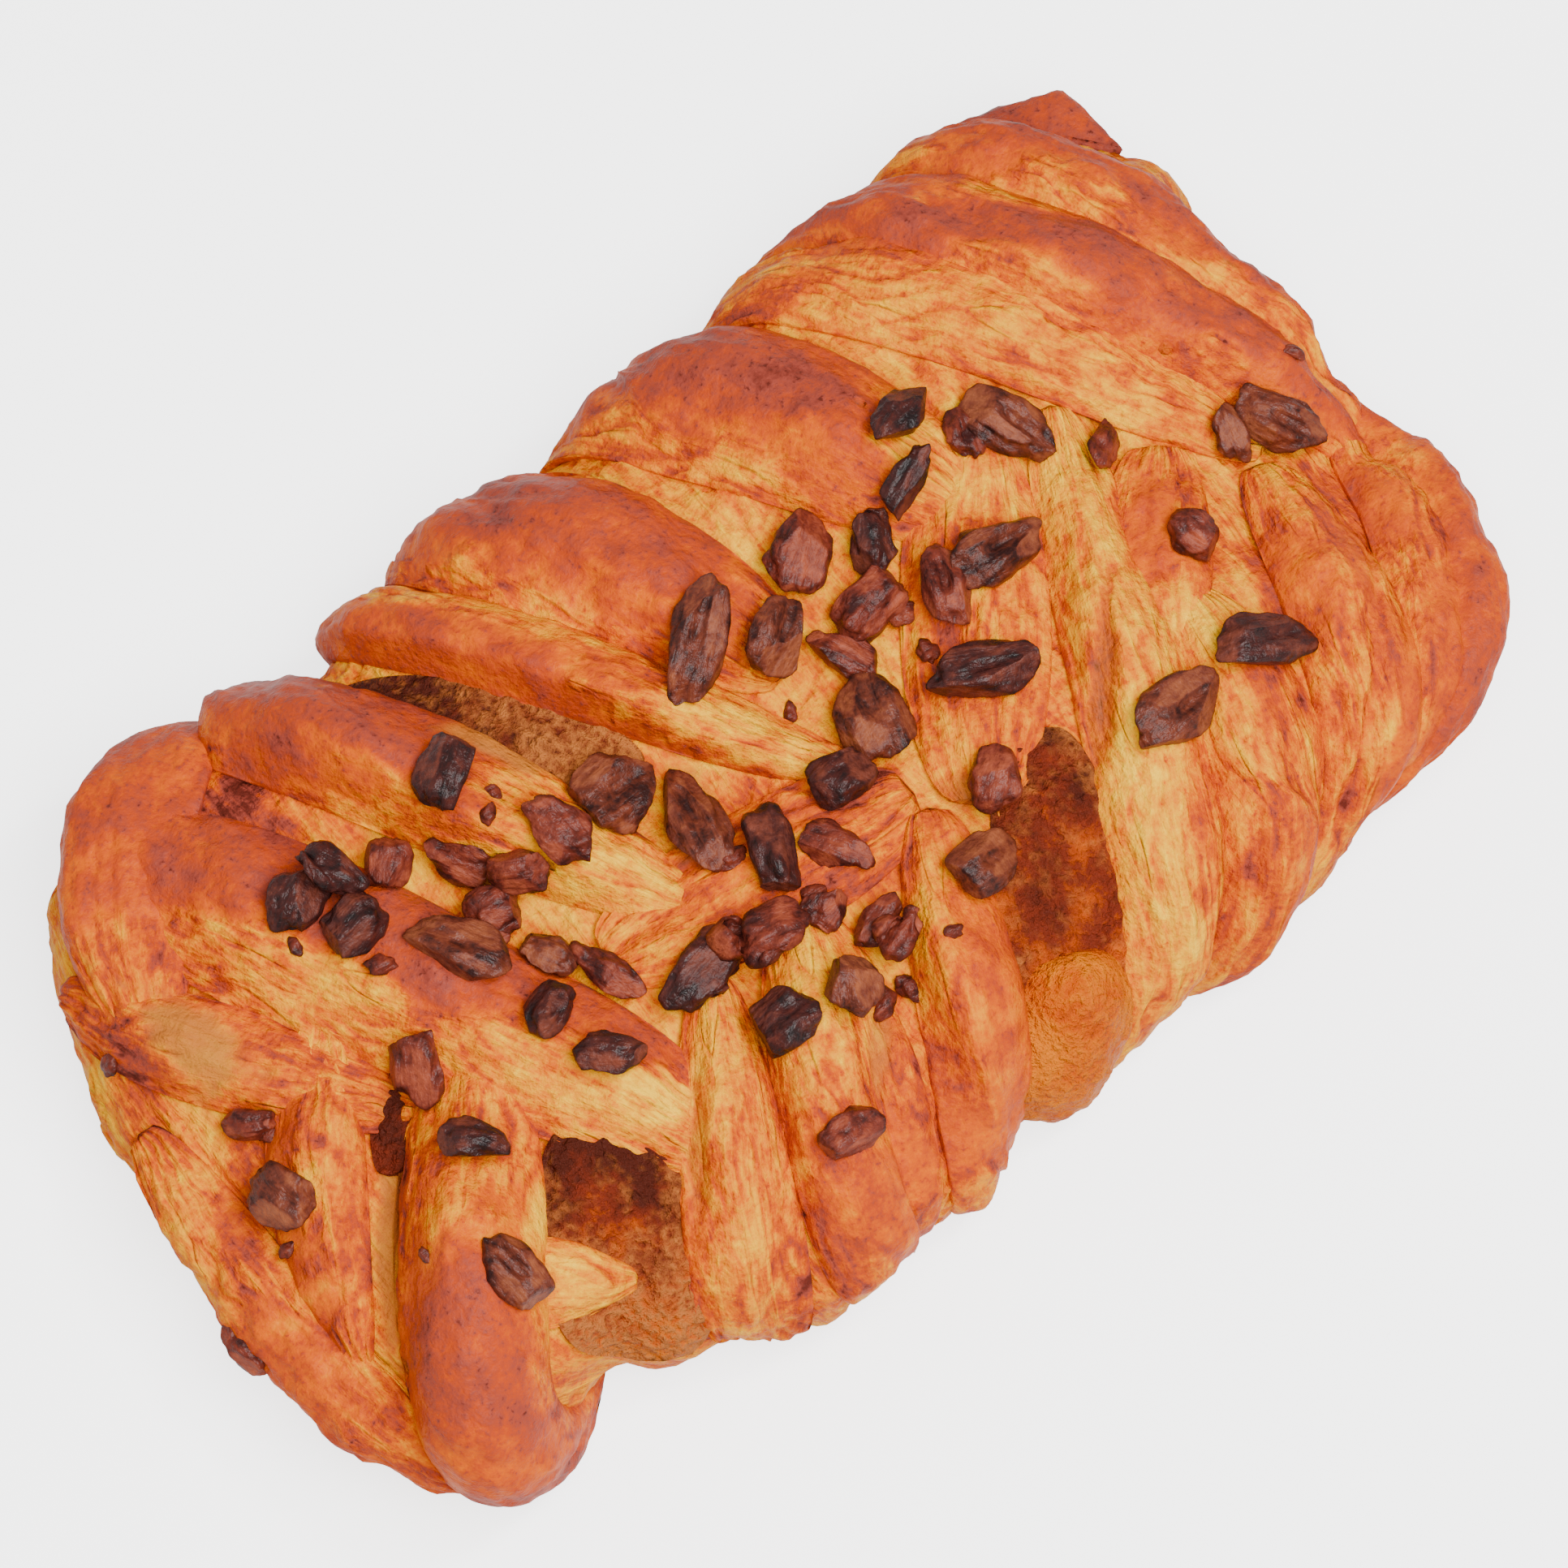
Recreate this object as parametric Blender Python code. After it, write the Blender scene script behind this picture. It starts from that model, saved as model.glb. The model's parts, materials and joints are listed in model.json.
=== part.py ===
"""Pecan braid pastry: a plait of laminated dough strips over a pecan filling, with chopped pecans."""

import math
from collections import namedtuple

import bmesh
import bpy
from mathutils import Matrix, Vector, noise
from mathutils.bvhtree import BVHTree

# Every size and place below is in millimetres. X runs along the braid, Y across it, Z up.
# Places are read on the braid's plan, where the loaf is centred on MIDDLE and the whole braid,
# with its uneven lobes, on ORIGIN. GAP is the clearance between solids, and points left by cutting
# that are nearer than WELD become one.
MM = 0.001
MIDDLE = (-2.2, 0.2)
ORIGIN = (-3.0, -0.6)
GAP = 0.4
WELD = 0.005

# The smooth loaf that the strips lie on.
HALF_LENGTH = 68.5
HALF_WIDTH = 39.4
CORNERS = {(1, 1): 7.5, (-1, 1): 3.6, (-1, -1): 5.5, (1, -1): 3.8}
# Where the outline swells or draws in: the direction from the middle in degrees, the spread
# either side of it in degrees, and how far out it goes.
SWELLS = (
    (20, 5, 2.5),
    (38, 7, 4.5),
    (51, 5, 2.2),
    (68, 6, -2.0),
    (98, 6, -1.0),
    (128, 9, -4.6),
    (149, 7, 3.6),
    (172, 7, 1.2),
    (208, 4, 2.4),
    (217, 4, -5.0),
    (239, 6, 6.2),
    (254, 5, 3.8),
    (302, 12, -2.4),
    (320, 5, -3.6),
    (334, 7, 4.2),
    (351, 6, -2.6),
)
CROWN = 25.5
WAIST = 9.0
DOME = 2.4
SHOULDER = 0.75
UNDER_TURN = math.radians(150)
VALLEY_DEPTH = 2.2
VALLEY_REACH = 12.0
FLOOR = 0.4
LOAF_SEGMENTS = (40, 11)

# A strip of dough: outer is its tucked end, tip its inner end, bow how far its middle is pushed
# towards -X, half its half width, rise its height over the loaf, face the share of its width
# that is the sloping cut face on its -X side, flare its widening towards the outer end.
Strip = namedtuple("Strip", "name outer tip bow half rise face flare")
STRIP_SEGMENTS = (10, 12)
STRIP_DEPTH = 3.0
END_BLUNT = 0.30
END_DROP = 0.55
UNEVEN = 0.45
UNEVEN_SCALE = 0.09

STRIPS = (
    Strip("corner_roll", (-66, 14), (-38, 44), 4.5, 8.0, 5.0, 0.35, 0.0),
    Strip("corner_band", (-72, 27), (-49, -7), 0.0, 5.0, 3.4, 0.55, 0.2),
    Strip("upper_1", (-60, 41), (-29, -28), 0.0, 8.6, 5.4, 0.62, 0.0),
    Strip("upper_2", (-44, 50), (-17, -8), 0.0, 6.6, 6.6, 0.40, 0.3),
    Strip("upper_3", (-30, 50), (3, -7), 0.5, 4.4, 4.8, 0.28, 0.2),
    Strip("upper_4", (-16, 53), (5, 5), -1.0, 8.6, 5.4, 0.42, 0.2),
    Strip("upper_5", (5, 53), (28, 7), -1.0, 9.0, 5.4, 0.50, 0.1),
    Strip("upper_6", (21, 53), (56, -4), -1.5, 6.4, 3.2, 0.50, 0.1),
    Strip("upper_7", (34, 54), (71, -12), 1.5, 7.0, 5.4, 0.38, 0.1),
    Strip("upper_8", (50, 52), (75, -16), 0.0, 6.4, 4.6, 0.50, 0.2),
    Strip("end_bit", (58, 51), (74, 34), -3.0, 4.4, 4.4, 0.40, 0.0),
    Strip("left_side", (-74, -42), (-73, 10), 2.0, 7.4, 4.4, 0.35, 0.0),
    Strip("left_middle", (-72, -23), (-50, 7), 1.0, 5.0, 3.8, 0.60, 0.0),
    Strip("lower_1", (-78, -51), (-42, -6), 0.0, 7.1, 8.6, 0.50, -0.4),
    Strip("flap", (-54, -25), (-43, -32), 0.0, 3.8, 2.2, 0.50, 0.9),
    Strip("lower_2", (-43, -52), (-20, -14), 0.0, 5.6, 4.2, 0.50, 0.5),
    Strip("lower_3", (-27, -54), (-10, -15), 0.0, 7.2, 5.0, 0.36, 0.1),
    Strip("lower_4", (-14, -55), (6, -14), 0.0, 5.2, 5.8, 0.32, 0.0),
    Strip("lower_5", (9, -55), (41, 11), -1.0, 6.0, 5.2, 0.45, 0.15),
    Strip("lower_6", (23, -55), (39, -12), -2.0, 6.8, 5.4, 0.42, 0.1),
    Strip("patch", (31, -17), (47, 2), 0.0, 5.4, 3.4, 0.50, 0.0),
    Strip("lower_7", (36, -50), (54, -5), -3.0, 6.0, 4.8, 0.50, 0.0),
    Strip("lower_8", (45, -41), (68, -4), -4.0, 5.6, 4.4, 0.42, 0.0),
    Strip("end_roll", (46, -42), (73, 4), -8.5, 6.0, 5.6, 0.40, 0.0),
    Strip("middle_1", (10, -17), (33, 13), 0.0, 7.2, 3.0, 0.50, 0.0),
    Strip("middle_2", (-27, -7), (6, -12), 0.0, 7.0, 1.8, 0.50, 0.0),
)

# Where the filling shows, as strips of it between the strips of dough, joined inside by a log.
FILLING_GAPS = (
    Strip("big_gap", (-3, -54), (19, -14), 0.0, 6.6, 2.0, 0.50, 0.2),
    Strip("ooze", (2, -52), (8, -32), 0.0, 6.4, 4.4, 0.50, 0.0),
    Strip("left_gap", (-49, -42), (-37, -18), 0.0, 6.8, 0.8, 0.50, 0.0),
    Strip("upper_gap", (-31, 31), (-13, 5), 0.0, 4.6, 0.4, 0.50, 0.0),
    Strip("slit", (-55, -10), (-47, -1), 0.0, 1.3, 0.8, 0.50, 0.0),
)
FILLING_SEGMENTS = (10, 10)
FILLING_DEPTH = 8.5
LOG_HALF = (56.0, 27.0, 7.5)
LOG_HEIGHT = 12.5
LOG_SQUARE = 0.7
LOG_SEGMENTS = (16, 8)

# A piece of pecan: its place, length, width, turn from X in degrees, and form.
Pecan = namedtuple("Pecan", "x y length width turn form")
PECANS = (
    Pecan(-45.6, 15.1, 5.6, 4.8, 30, "chunk"),
    Pecan(-41.9, 14.5, 6.2, 3.9, 110, "chunk"),
    Pecan(-43.0, 9.9, 5.8, 4.8, 10, "chunk"),
    Pecan(-37.1, 12.7, 5.0, 3.8, 45, "chunk"),
    Pecan(-31.3, 9.5, 6.2, 3.2, 115, "chip"),
    Pecan(-28.0, 15.1, 7.0, 4.6, 40, "chunk"),
    Pecan(-23.2, 5.1, 7.5, 4.5, 100, "chip"),
    Pecan(-37.2, 1.6, 9.5, 5.0, 120, "lobe"),
    Pecan(-31.9, 3.2, 4.6, 4.5, 0, "chunk"),
    Pecan(-27.5, 4.9, 5.0, 4.0, -30, "chunk"),
    Pecan(-61.3, 2.8, 5.0, 2.6, -35, "chip"),
    Pecan(-63.0, -5.7, 6.0, 5.0, 90, "chunk"),
    Pecan(-46.0, -4.2, 6.0, 4.6, 45, "chunk"),
    Pecan(-47.4, -14.9, 6.0, 3.8, -50, "chip"),
    Pecan(-52.2, -25.4, 7.5, 4.8, 100, "lobe"),
    Pecan(-78.6, -14.1, 5.0, 2.6, 90, "chip"),
    Pecan(-30.9, -3.2, 5.5, 3.2, 120, "chip"),
    Pecan(-34.5, -9.1, 5.2, 3.6, 20, "chunk"),
    Pecan(-27.4, -8.0, 7.5, 2.8, 105, "chip"),
    Pecan(-32.8, -15.9, 6.0, 3.8, -45, "chip"),
    Pecan(-20.3, -13.6, 9.6, 4.6, 12, "chunk"),
    Pecan(-16.2, 5.5, 7.8, 7.0, 0, "lobe"),
    Pecan(-12.1, -2.2, 11.0, 5.0, 75, "lobe"),
    Pecan(-8.6, -9.4, 8.0, 4.2, 65, "chunk"),
    Pecan(0.9, -7.3, 6.0, 5.0, 10, "chunk"),
    Pecan(7.5, -4.1, 8.8, 6.5, 75, "lobe"),
    Pecan(18.4, -7.7, 10.0, 5.0, -25, "lobe"),
    Pecan(-3.6, -12.3, 6.8, 3.6, -60, "chip"),
    Pecan(-7.8, -15.9, 4.5, 3.2, 15, "chip"),
    Pecan(-13.4, -16.6, 6.4, 5.2, -20, "chunk"),
    Pecan(-17.7, -23.2, 6.0, 5.6, 0, "chunk"),
    Pecan(-11.7, -23.3, 5.0, 5.0, 30, "chunk"),
    Pecan(-5.0, -20.1, 6.0, 3.0, 15, "chip"),
    Pecan(-4.1, -22.4, 5.0, 2.6, 20, "chip"),
    Pecan(5.6, -21.4, 7.8, 5.2, 5, "lobe"),
    Pecan(12.4, -15.9, 5.2, 4.4, 40, "chunk"),
    Pecan(-20.7, -32.9, 6.0, 3.6, -8, "chunk"),
    Pecan(-1.2, 11.8, 12.2, 5.2, 38, "lobe"),
    Pecan(4.8, 8.3, 7.8, 5.4, 35, "lobe"),
    Pecan(12.3, 13.2, 6.8, 5.0, 35, "chunk"),
    Pecan(18.2, 9.7, 5.0, 3.8, 60, "chunk"),
    Pecan(14.3, 5.3, 7.6, 4.6, 10, "chunk"),
    Pecan(9.3, 3.1, 6.4, 3.4, 120, "chip"),
    Pecan(20.8, 1.5, 8.0, 4.0, 65, "lobe"),
    Pecan(26.2, 1.7, 9.6, 5.3, -5, "lobe"),
    Pecan(23.8, 12.2, 7.0, 2.8, 20, "chip"),
    Pecan(26.8, 16.8, 6.6, 3.6, 15, "chunk"),
    Pecan(31.9, 13.3, 5.0, 3.0, 70, "chip"),
    Pecan(36.1, 11.5, 9.3, 4.8, -70, "lobe"),
    Pecan(41.7, 4.8, 5.2, 3.2, 35, "chip"),
    Pecan(52.9, -1.1, 5.2, 3.2, 80, "chip"),
    Pecan(57.7, -2.7, 9.0, 4.8, -60, "lobe"),
    Pecan(42.0, -8.6, 4.8, 3.4, 110, "chunk"),
    Pecan(29.4, -20.8, 10.0, 5.5, 5, "lobe"),
    Pecan(39.6, -20.7, 10.0, 5.2, -20, "lobe"),
)
THICKNESS = {"lobe": 3.6, "chunk": 3.2, "chip": 2.2}
ROUGHNESS = {"lobe": 0.10, "chunk": 0.22, "chip": 0.26}
PECAN_SCALE = 0.94
PECAN_LEAST = 0.7
PECAN_REST = 0.35
PECAN_CLEAR = 0.2
PECAN_LIFT = 0.1
LIFT_TRIES = 20
FOOT = 0.6
SINK = 0.9
CAST_FROM = 12.0

CRUST_COLOUR = (0.52, 0.16, 0.045)
FILLING_COLOUR = (0.20, 0.045, 0.012)
PECAN_COLOURS = ((0.115, 0.028, 0.014), (0.060, 0.018, 0.013), (0.18, 0.085, 0.040))


def loaf_reach(x, y):
    """How far out a spot from the middle is, 1 on the loaf's outline, with a corner of its own
    squareness in each quarter and the outline's swells."""
    corner = CORNERS[(1 if x >= 0 else -1, 1 if y >= 0 else -1)]
    reach = (abs(x / HALF_LENGTH) ** corner + abs(y / HALF_WIDTH) ** corner) ** (1 / corner)
    direction = math.degrees(math.atan2(y, x))
    swell = 0.0
    for at, spread, push in SWELLS:
        away = (direction - at + 180) % 360 - 180
        swell += push * math.exp(-((away / spread) ** 2))
    distance = math.hypot(x, y)
    return reach * distance / max(distance + swell * reach, 1e-6)


def loaf_point(x, y):
    """The place on the loaf, in mm, of a spot on its plan, unrolled past the shoulder."""
    x, y = x - MIDDLE[0], y - MIDDLE[1]
    reach = loaf_reach(x, y)
    turn = min(max(0.0, (reach - SHOULDER) / (1 - SHOULDER)), UNDER_TURN)
    spread = min(reach, SHOULDER + (1 - SHOULDER) * math.sin(turn))
    scale = spread / max(reach, 1e-6)
    height = (1 - min(spread, 1.0) ** DOME) ** (1 / DOME)
    if turn <= math.pi / 2:
        valley = VALLEY_DEPTH * math.exp(-((y / VALLEY_REACH) ** 2))
        z = WAIST + (CROWN - WAIST - valley) * height
    else:
        z = WAIST * max(0.0, 1 + 1.2 * math.cos(turn))
    return Vector((x * scale + MIDDLE[0] - ORIGIN[0], y * scale + MIDDLE[1] - ORIGIN[1], z))


def loaf_normal(x, y, step=0.6):
    """The outward direction of the loaf at a spot on its plan."""
    along = loaf_point(x + step, y) - loaf_point(x - step, y)
    across = loaf_point(x, y + step) - loaf_point(x, y - step)
    normal = along.cross(across)
    return normal.normalized() if normal.length > 1e-9 else Vector((0, 0, 1))


def strip_spot(strip, t, side):
    """The plan spot on a strip at t from its outer end to its tip, side from -1 on its cut face."""
    outer, tip = Vector(strip.outer), Vector(strip.tip)
    run = tip - outer
    to_face = Vector((run.y, -run.x)).normalized()
    if to_face.x > 0:
        to_face = -to_face
    bowed = outer.lerp(tip, t) + to_face * strip.bow * 4 * t * (1 - t)
    taper = max(0.0, math.sin(math.pi * t)) ** END_BLUNT
    half = strip.half * taper * (1 + strip.flare * (0.5 - t))
    return bowed - to_face * half * side


def strip_height(strip, t, side):
    """The height of a strip's top over the loaf: a sloping cut face, a crest, a round far side."""
    crest = 2 * strip.face - 1
    if side < crest:
        climb = math.sin(math.pi / 2 * (side + 1) / (crest + 1))
    else:
        climb = math.sin(math.pi / 2 * (1 - side) / (1 - crest)) ** 0.7
    low_end = 1 - END_DROP * (1 - t) ** 2
    return strip.rise * climb * low_end * max(0.0, math.sin(math.pi * t)) ** END_BLUNT


def strip_point(strip, t, angle, depth=STRIP_DEPTH):
    """The place on a strip's skin: angle goes round it, 0 to pi over its top from its far side."""
    side = math.cos(angle)
    spot = strip_spot(strip, t, side)
    wave = noise.noise(Vector((spot.x, spot.y, len(strip.name))) * UNEVEN_SCALE)
    if math.sin(angle) >= 0:
        height = strip_height(strip, t, side) * (1 + UNEVEN * wave)
    else:
        height = depth * math.sin(angle) * max(0.0, math.sin(math.pi * t)) ** END_BLUNT
    place = loaf_point(*spot) + loaf_normal(*spot) * height
    place.z = max(place.z, FLOOR)
    return place


def sphere_shape(name, segments, place, grow=0.0):
    """A closed object whose skin is a sphere's, each point put where place(t, angle) says, and
    then moved out by grow."""
    bm = bmesh.new()
    bmesh.ops.create_uvsphere(bm, u_segments=segments[0], v_segments=segments[1], radius=1.0)
    for vert in bm.verts:
        t = math.acos(max(-1.0, min(1.0, vert.co.z))) / math.pi
        vert.co = place(t, math.atan2(vert.co.y, vert.co.x)) * MM
    if bm.calc_volume(signed=True) < 0:
        bmesh.ops.reverse_faces(bm, faces=bm.faces)
    bm.normal_update()
    for vert in bm.verts:
        vert.co += vert.normal * grow * MM
    mesh = bpy.data.meshes.new(name)
    bm.to_mesh(mesh)
    bm.free()
    thing = bpy.data.objects.new(name, mesh)
    bpy.context.scene.collection.objects.link(thing)
    return thing


def loaf_skin(t, angle):
    """The loaf's own skin, from the middle of its top at t 0 to the middle of its flat base."""
    wall = SHOULDER + (1 - SHOULDER) * UNDER_TURN
    if t > 0.85:
        edge = loaf_skin(0.85, angle)
        return Vector((edge.x, edge.y, 0)) * ((1 - t) / 0.15)
    reach = wall * math.sin(math.pi / 2 * t / 0.85) ** 0.8
    x, y = math.cos(angle) * HALF_LENGTH, math.sin(angle) * HALF_WIDTH
    out = reach / loaf_reach(x, y)
    return loaf_point(x * out + MIDDLE[0], y * out + MIDDLE[1])


def log_skin(t, angle):
    """The log of filling that runs through the braid, a sausage with squarish sides."""
    def square(value):
        return math.copysign(abs(value) ** LOG_SQUARE, value)
    ring = math.sin(math.pi * t) ** LOG_SQUARE
    return Vector((
        LOG_HALF[0] * square(math.cos(math.pi * t)),
        LOG_HALF[1] * ring * square(math.cos(angle)),
        LOG_HALF[2] * ring * square(math.sin(angle)) + LOG_HEIGHT,
    ))


def boolean(target, collection, operation, solver="EXACT"):
    """Join a collection's objects to the target or cut them out, then remove them."""
    modifier = target.modifiers.new(operation.title(), "BOOLEAN")
    modifier.operation = operation
    modifier.operand_type = "COLLECTION"
    modifier.collection = collection
    modifier.solver = solver
    depsgraph = bpy.context.evaluated_depsgraph_get()
    mesh = bpy.data.meshes.new_from_object(target.evaluated_get(depsgraph))
    target.modifiers.clear()
    target.data = mesh
    for thing in list(collection.objects):
        bpy.data.objects.remove(thing)
    bpy.data.collections.remove(collection)


def keep_main_body(thing):
    """Join near points, drop the loose scraps and fill the sealed pockets that cutting leaves."""
    bm = bmesh.new()
    bm.from_mesh(thing.data)
    bmesh.ops.remove_doubles(bm, verts=bm.verts, dist=WELD * MM)
    left = set(bm.faces)
    bodies = []
    while left:
        body = set()
        front = {left.pop()}
        while front:
            body |= front
            edges = {edge for face in front for edge in face.edges}
            front = {face for edge in edges for face in edge.link_faces} - body
        left -= body
        bodies.append(body)
    bodies.sort(key=len)
    scraps = [face for body in bodies[:-1] for face in body]
    bmesh.ops.delete(bm, geom=scraps, context="FACES")
    bm.to_mesh(thing.data)
    bm.free()


def gather(name, things):
    """A collection of the things, for one Boolean."""
    collection = bpy.data.collections.new(name)
    bpy.context.scene.collection.children.link(collection)
    for thing in things:
        bpy.context.scene.collection.objects.unlink(thing)
        collection.objects.link(thing)
    return collection


def filling_shapes(grow):
    """The log and the strips of filling that reach the braid's gaps, each larger by grow."""
    log = sphere_shape("filling", LOG_SEGMENTS, log_skin, grow)
    gaps = [
        sphere_shape(gap.name, FILLING_SEGMENTS, lambda t, angle, gap=gap: strip_point(
            gap, t, angle, FILLING_DEPTH), grow)
        for gap in FILLING_GAPS
    ]
    return log, gaps


def material(name, colour, roughness):
    """A plain food material."""
    made = bpy.data.materials.new(name)
    made.use_nodes = True
    shader = made.node_tree.nodes["Principled BSDF"]
    shader.inputs["Base Color"].default_value = (*colour, 1)
    shader.inputs["Roughness"].default_value = roughness
    shader.inputs["Metallic"].default_value = 0
    return made


def finish(thing, look):
    """Give an object its material and smooth shading with its creases kept."""
    thing.data.materials.clear()
    thing.data.materials.append(look)
    thing.data.shade_smooth()
    thing.data.set_sharp_from_angle(angle=math.radians(50))


def build_filling():
    """The pecan filling: one log with a tongue up to each gap in the braid."""
    log, gaps = filling_shapes(0.0)
    boolean(log, gather("gaps", gaps), "UNION")
    return log


def build_dough():
    """The braid: the loaf and its strips as one body, with room for the filling."""
    dough = sphere_shape("dough", LOAF_SEGMENTS, loaf_skin)
    strips = [
        sphere_shape(strip.name, STRIP_SEGMENTS, lambda t, angle, strip=strip: strip_point(
            strip, t, angle))
        for strip in STRIPS
    ]
    boolean(dough, gather("strips", strips), "UNION")
    log, gaps = filling_shapes(GAP)
    # EXACT leaves two open edges where the room for the filling meets the strips.
    boolean(dough, gather("room", [log, *gaps]), "DIFFERENCE", solver="MANIFOLD")
    keep_main_body(dough)
    return dough


def tree_of(things):
    """One search tree of the things' surfaces."""
    bm = bmesh.new()
    for thing in things:
        bm.from_mesh(thing.data)
    tree = BVHTree.FromBMesh(bm)
    bm.free()
    return tree


def ground(tree, place, up):
    """Where what is below a place, against the direction up, has its surface."""
    hit = tree.ray_cast(place + up * CAST_FROM * MM, -up)[0]
    return hit if hit else place


def pecan_form(pecan, direction, seed):
    """A pecan piece's surface in a direction from its middle, with half sizes of 1."""
    shape = direction.copy()
    if pecan.form == "lobe":
        shape.y *= 1 - 0.18 * shape.x
        if shape.z > 0:
            shape.z *= 1 - 0.45 * math.exp(-((shape.y / 0.22) ** 2))
    elif pecan.form == "chunk":
        shape.x = math.copysign(abs(shape.x) ** 0.7, shape.x)
        shape.y = math.copysign(abs(shape.y) ** 0.7, shape.y)
    else:
        shape.y *= 1 - 0.35 * shape.x
        shape.z += 0.3 * shape.x * abs(shape.x)
    rough = ROUGHNESS[pecan.form] * noise.noise(direction * 1.6 + Vector((seed * 7.3, 0, 0)))
    return shape * (1 + rough)


def is_clear(bm, below):
    """Whether a piece keeps its gap from all that lies below and beside it."""
    bm.normal_update()
    grown = [vert.co + vert.normal * PECAN_CLEAR * MM for vert in bm.verts]
    faces = [[vert.index for vert in face.verts] for face in bm.faces]
    return not BVHTree.FromPolygons(grown, faces).overlap(below)


def build_pecan(number, pecan, bed, below):
    """One piece of pecan, laid on the bed of dough and filling, clear of all that is below it."""
    bm = bmesh.new()
    bmesh.ops.create_icosphere(bm, subdivisions=2, radius=1.0)
    half = Vector((pecan.length, pecan.width, THICKNESS[pecan.form])) * PECAN_SCALE / 2 * MM
    for vert in bm.verts:
        shape = pecan_form(pecan, vert.co, number)
        vert.co = Vector(a * b for a, b in zip(shape, half))
    spot = loaf_point(pecan.x, pecan.y) * MM
    up = loaf_normal(pecan.x, pecan.y)
    stand = Vector((0, 0, 1)).rotation_difference(up).to_matrix()
    turned = Matrix.Rotation(math.radians(pecan.turn), 3, "Z")
    feet = [
        ground(bed, spot + stand @ turned @ Vector((a * half.x, b * half.y, 0)) * FOOT, up)
        for a, b in ((1, 0), (0, 1), (-1, 0), (0, -1))
    ]
    level = (feet[0] - feet[2]).cross(feet[1] - feet[3]).normalized()
    up = (up + level).normalized()
    stand = Vector((0, 0, 1)).rotation_difference(up).to_matrix()
    middle = sum(feet, Vector()) / 4 + up * half.z * SINK
    bmesh.ops.transform(bm, matrix=Matrix.Translation(middle) @ (stand @ turned).to_4x4(),
                        verts=bm.verts)
    for vert in bm.verts:
        least = PECAN_REST * MM
        if (vert.co - middle).dot(up) > 0:
            least += PECAN_LEAST * MM
        height = (vert.co - ground(below, vert.co, up)).dot(up)
        vert.co += up * max(0.0, least - height)
    for _ in range(LIFT_TRIES):
        if is_clear(bm, below):
            break
        bmesh.ops.translate(bm, vec=up * PECAN_LIFT * MM, verts=bm.verts)
    mesh = bpy.data.meshes.new(f"pecan_{number:02d}")
    bm.to_mesh(mesh)
    bm.free()
    thing = bpy.data.objects.new(mesh.name, mesh)
    bpy.context.scene.collection.objects.link(thing)
    return thing


def main():
    for old in list(bpy.data.objects):
        bpy.data.objects.remove(old)
    filling = build_filling()
    dough = build_dough()
    finish(filling, material("pecan_filling", FILLING_COLOUR, 0.3))
    finish(dough, material("baked_dough", CRUST_COLOUR, 0.5))
    looks = [material(f"pecan_nut_{i + 1}", colour, 0.4) for i, colour in enumerate(PECAN_COLOURS)]
    laid = [dough, filling]
    bed = tree_of(laid)
    for number, pecan in enumerate(PECANS, start=1):
        piece = build_pecan(number, pecan, bed, tree_of(laid))
        finish(piece, looks[number % len(looks)])
        laid.append(piece)


main()
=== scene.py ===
"""The looks of a pecan braid pastry: flaky dough strips, a nut filling and chopped pecans."""

import json
import math
from collections import namedtuple
from functools import partial

import bmesh
import bpy
import numpy as np
from bpy.props import FloatProperty, FloatVectorProperty, IntProperty, PointerProperty
from mathutils import Matrix, Vector, noise
from mathutils.bvhtree import BVHTree

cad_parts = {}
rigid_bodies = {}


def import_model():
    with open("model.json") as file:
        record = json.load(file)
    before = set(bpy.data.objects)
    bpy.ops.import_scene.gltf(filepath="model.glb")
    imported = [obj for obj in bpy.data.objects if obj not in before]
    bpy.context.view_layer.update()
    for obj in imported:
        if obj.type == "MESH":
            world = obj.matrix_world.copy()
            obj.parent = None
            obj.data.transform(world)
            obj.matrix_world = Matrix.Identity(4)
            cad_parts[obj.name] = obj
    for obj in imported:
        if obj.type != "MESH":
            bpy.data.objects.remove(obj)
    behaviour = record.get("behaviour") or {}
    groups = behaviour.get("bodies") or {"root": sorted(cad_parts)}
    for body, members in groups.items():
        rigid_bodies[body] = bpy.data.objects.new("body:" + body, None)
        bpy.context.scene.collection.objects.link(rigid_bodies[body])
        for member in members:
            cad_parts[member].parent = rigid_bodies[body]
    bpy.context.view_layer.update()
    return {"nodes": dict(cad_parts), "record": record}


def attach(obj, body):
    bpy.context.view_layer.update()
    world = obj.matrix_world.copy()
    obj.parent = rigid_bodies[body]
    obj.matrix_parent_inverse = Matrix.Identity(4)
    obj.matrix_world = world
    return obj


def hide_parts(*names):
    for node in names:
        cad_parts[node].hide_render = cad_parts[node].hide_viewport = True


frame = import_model()

bl_info = {
    "name": "Pecan Braid Pastry",
    "version": (1, 0, 0),
    "blender": (4, 5, 0),
    "location": "View3D > Sidebar > Pastry",
    "description": "Builds the flaky strips, filling, pecans and crumbs of a pecan braid",
    "category": "Object",
}

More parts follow.
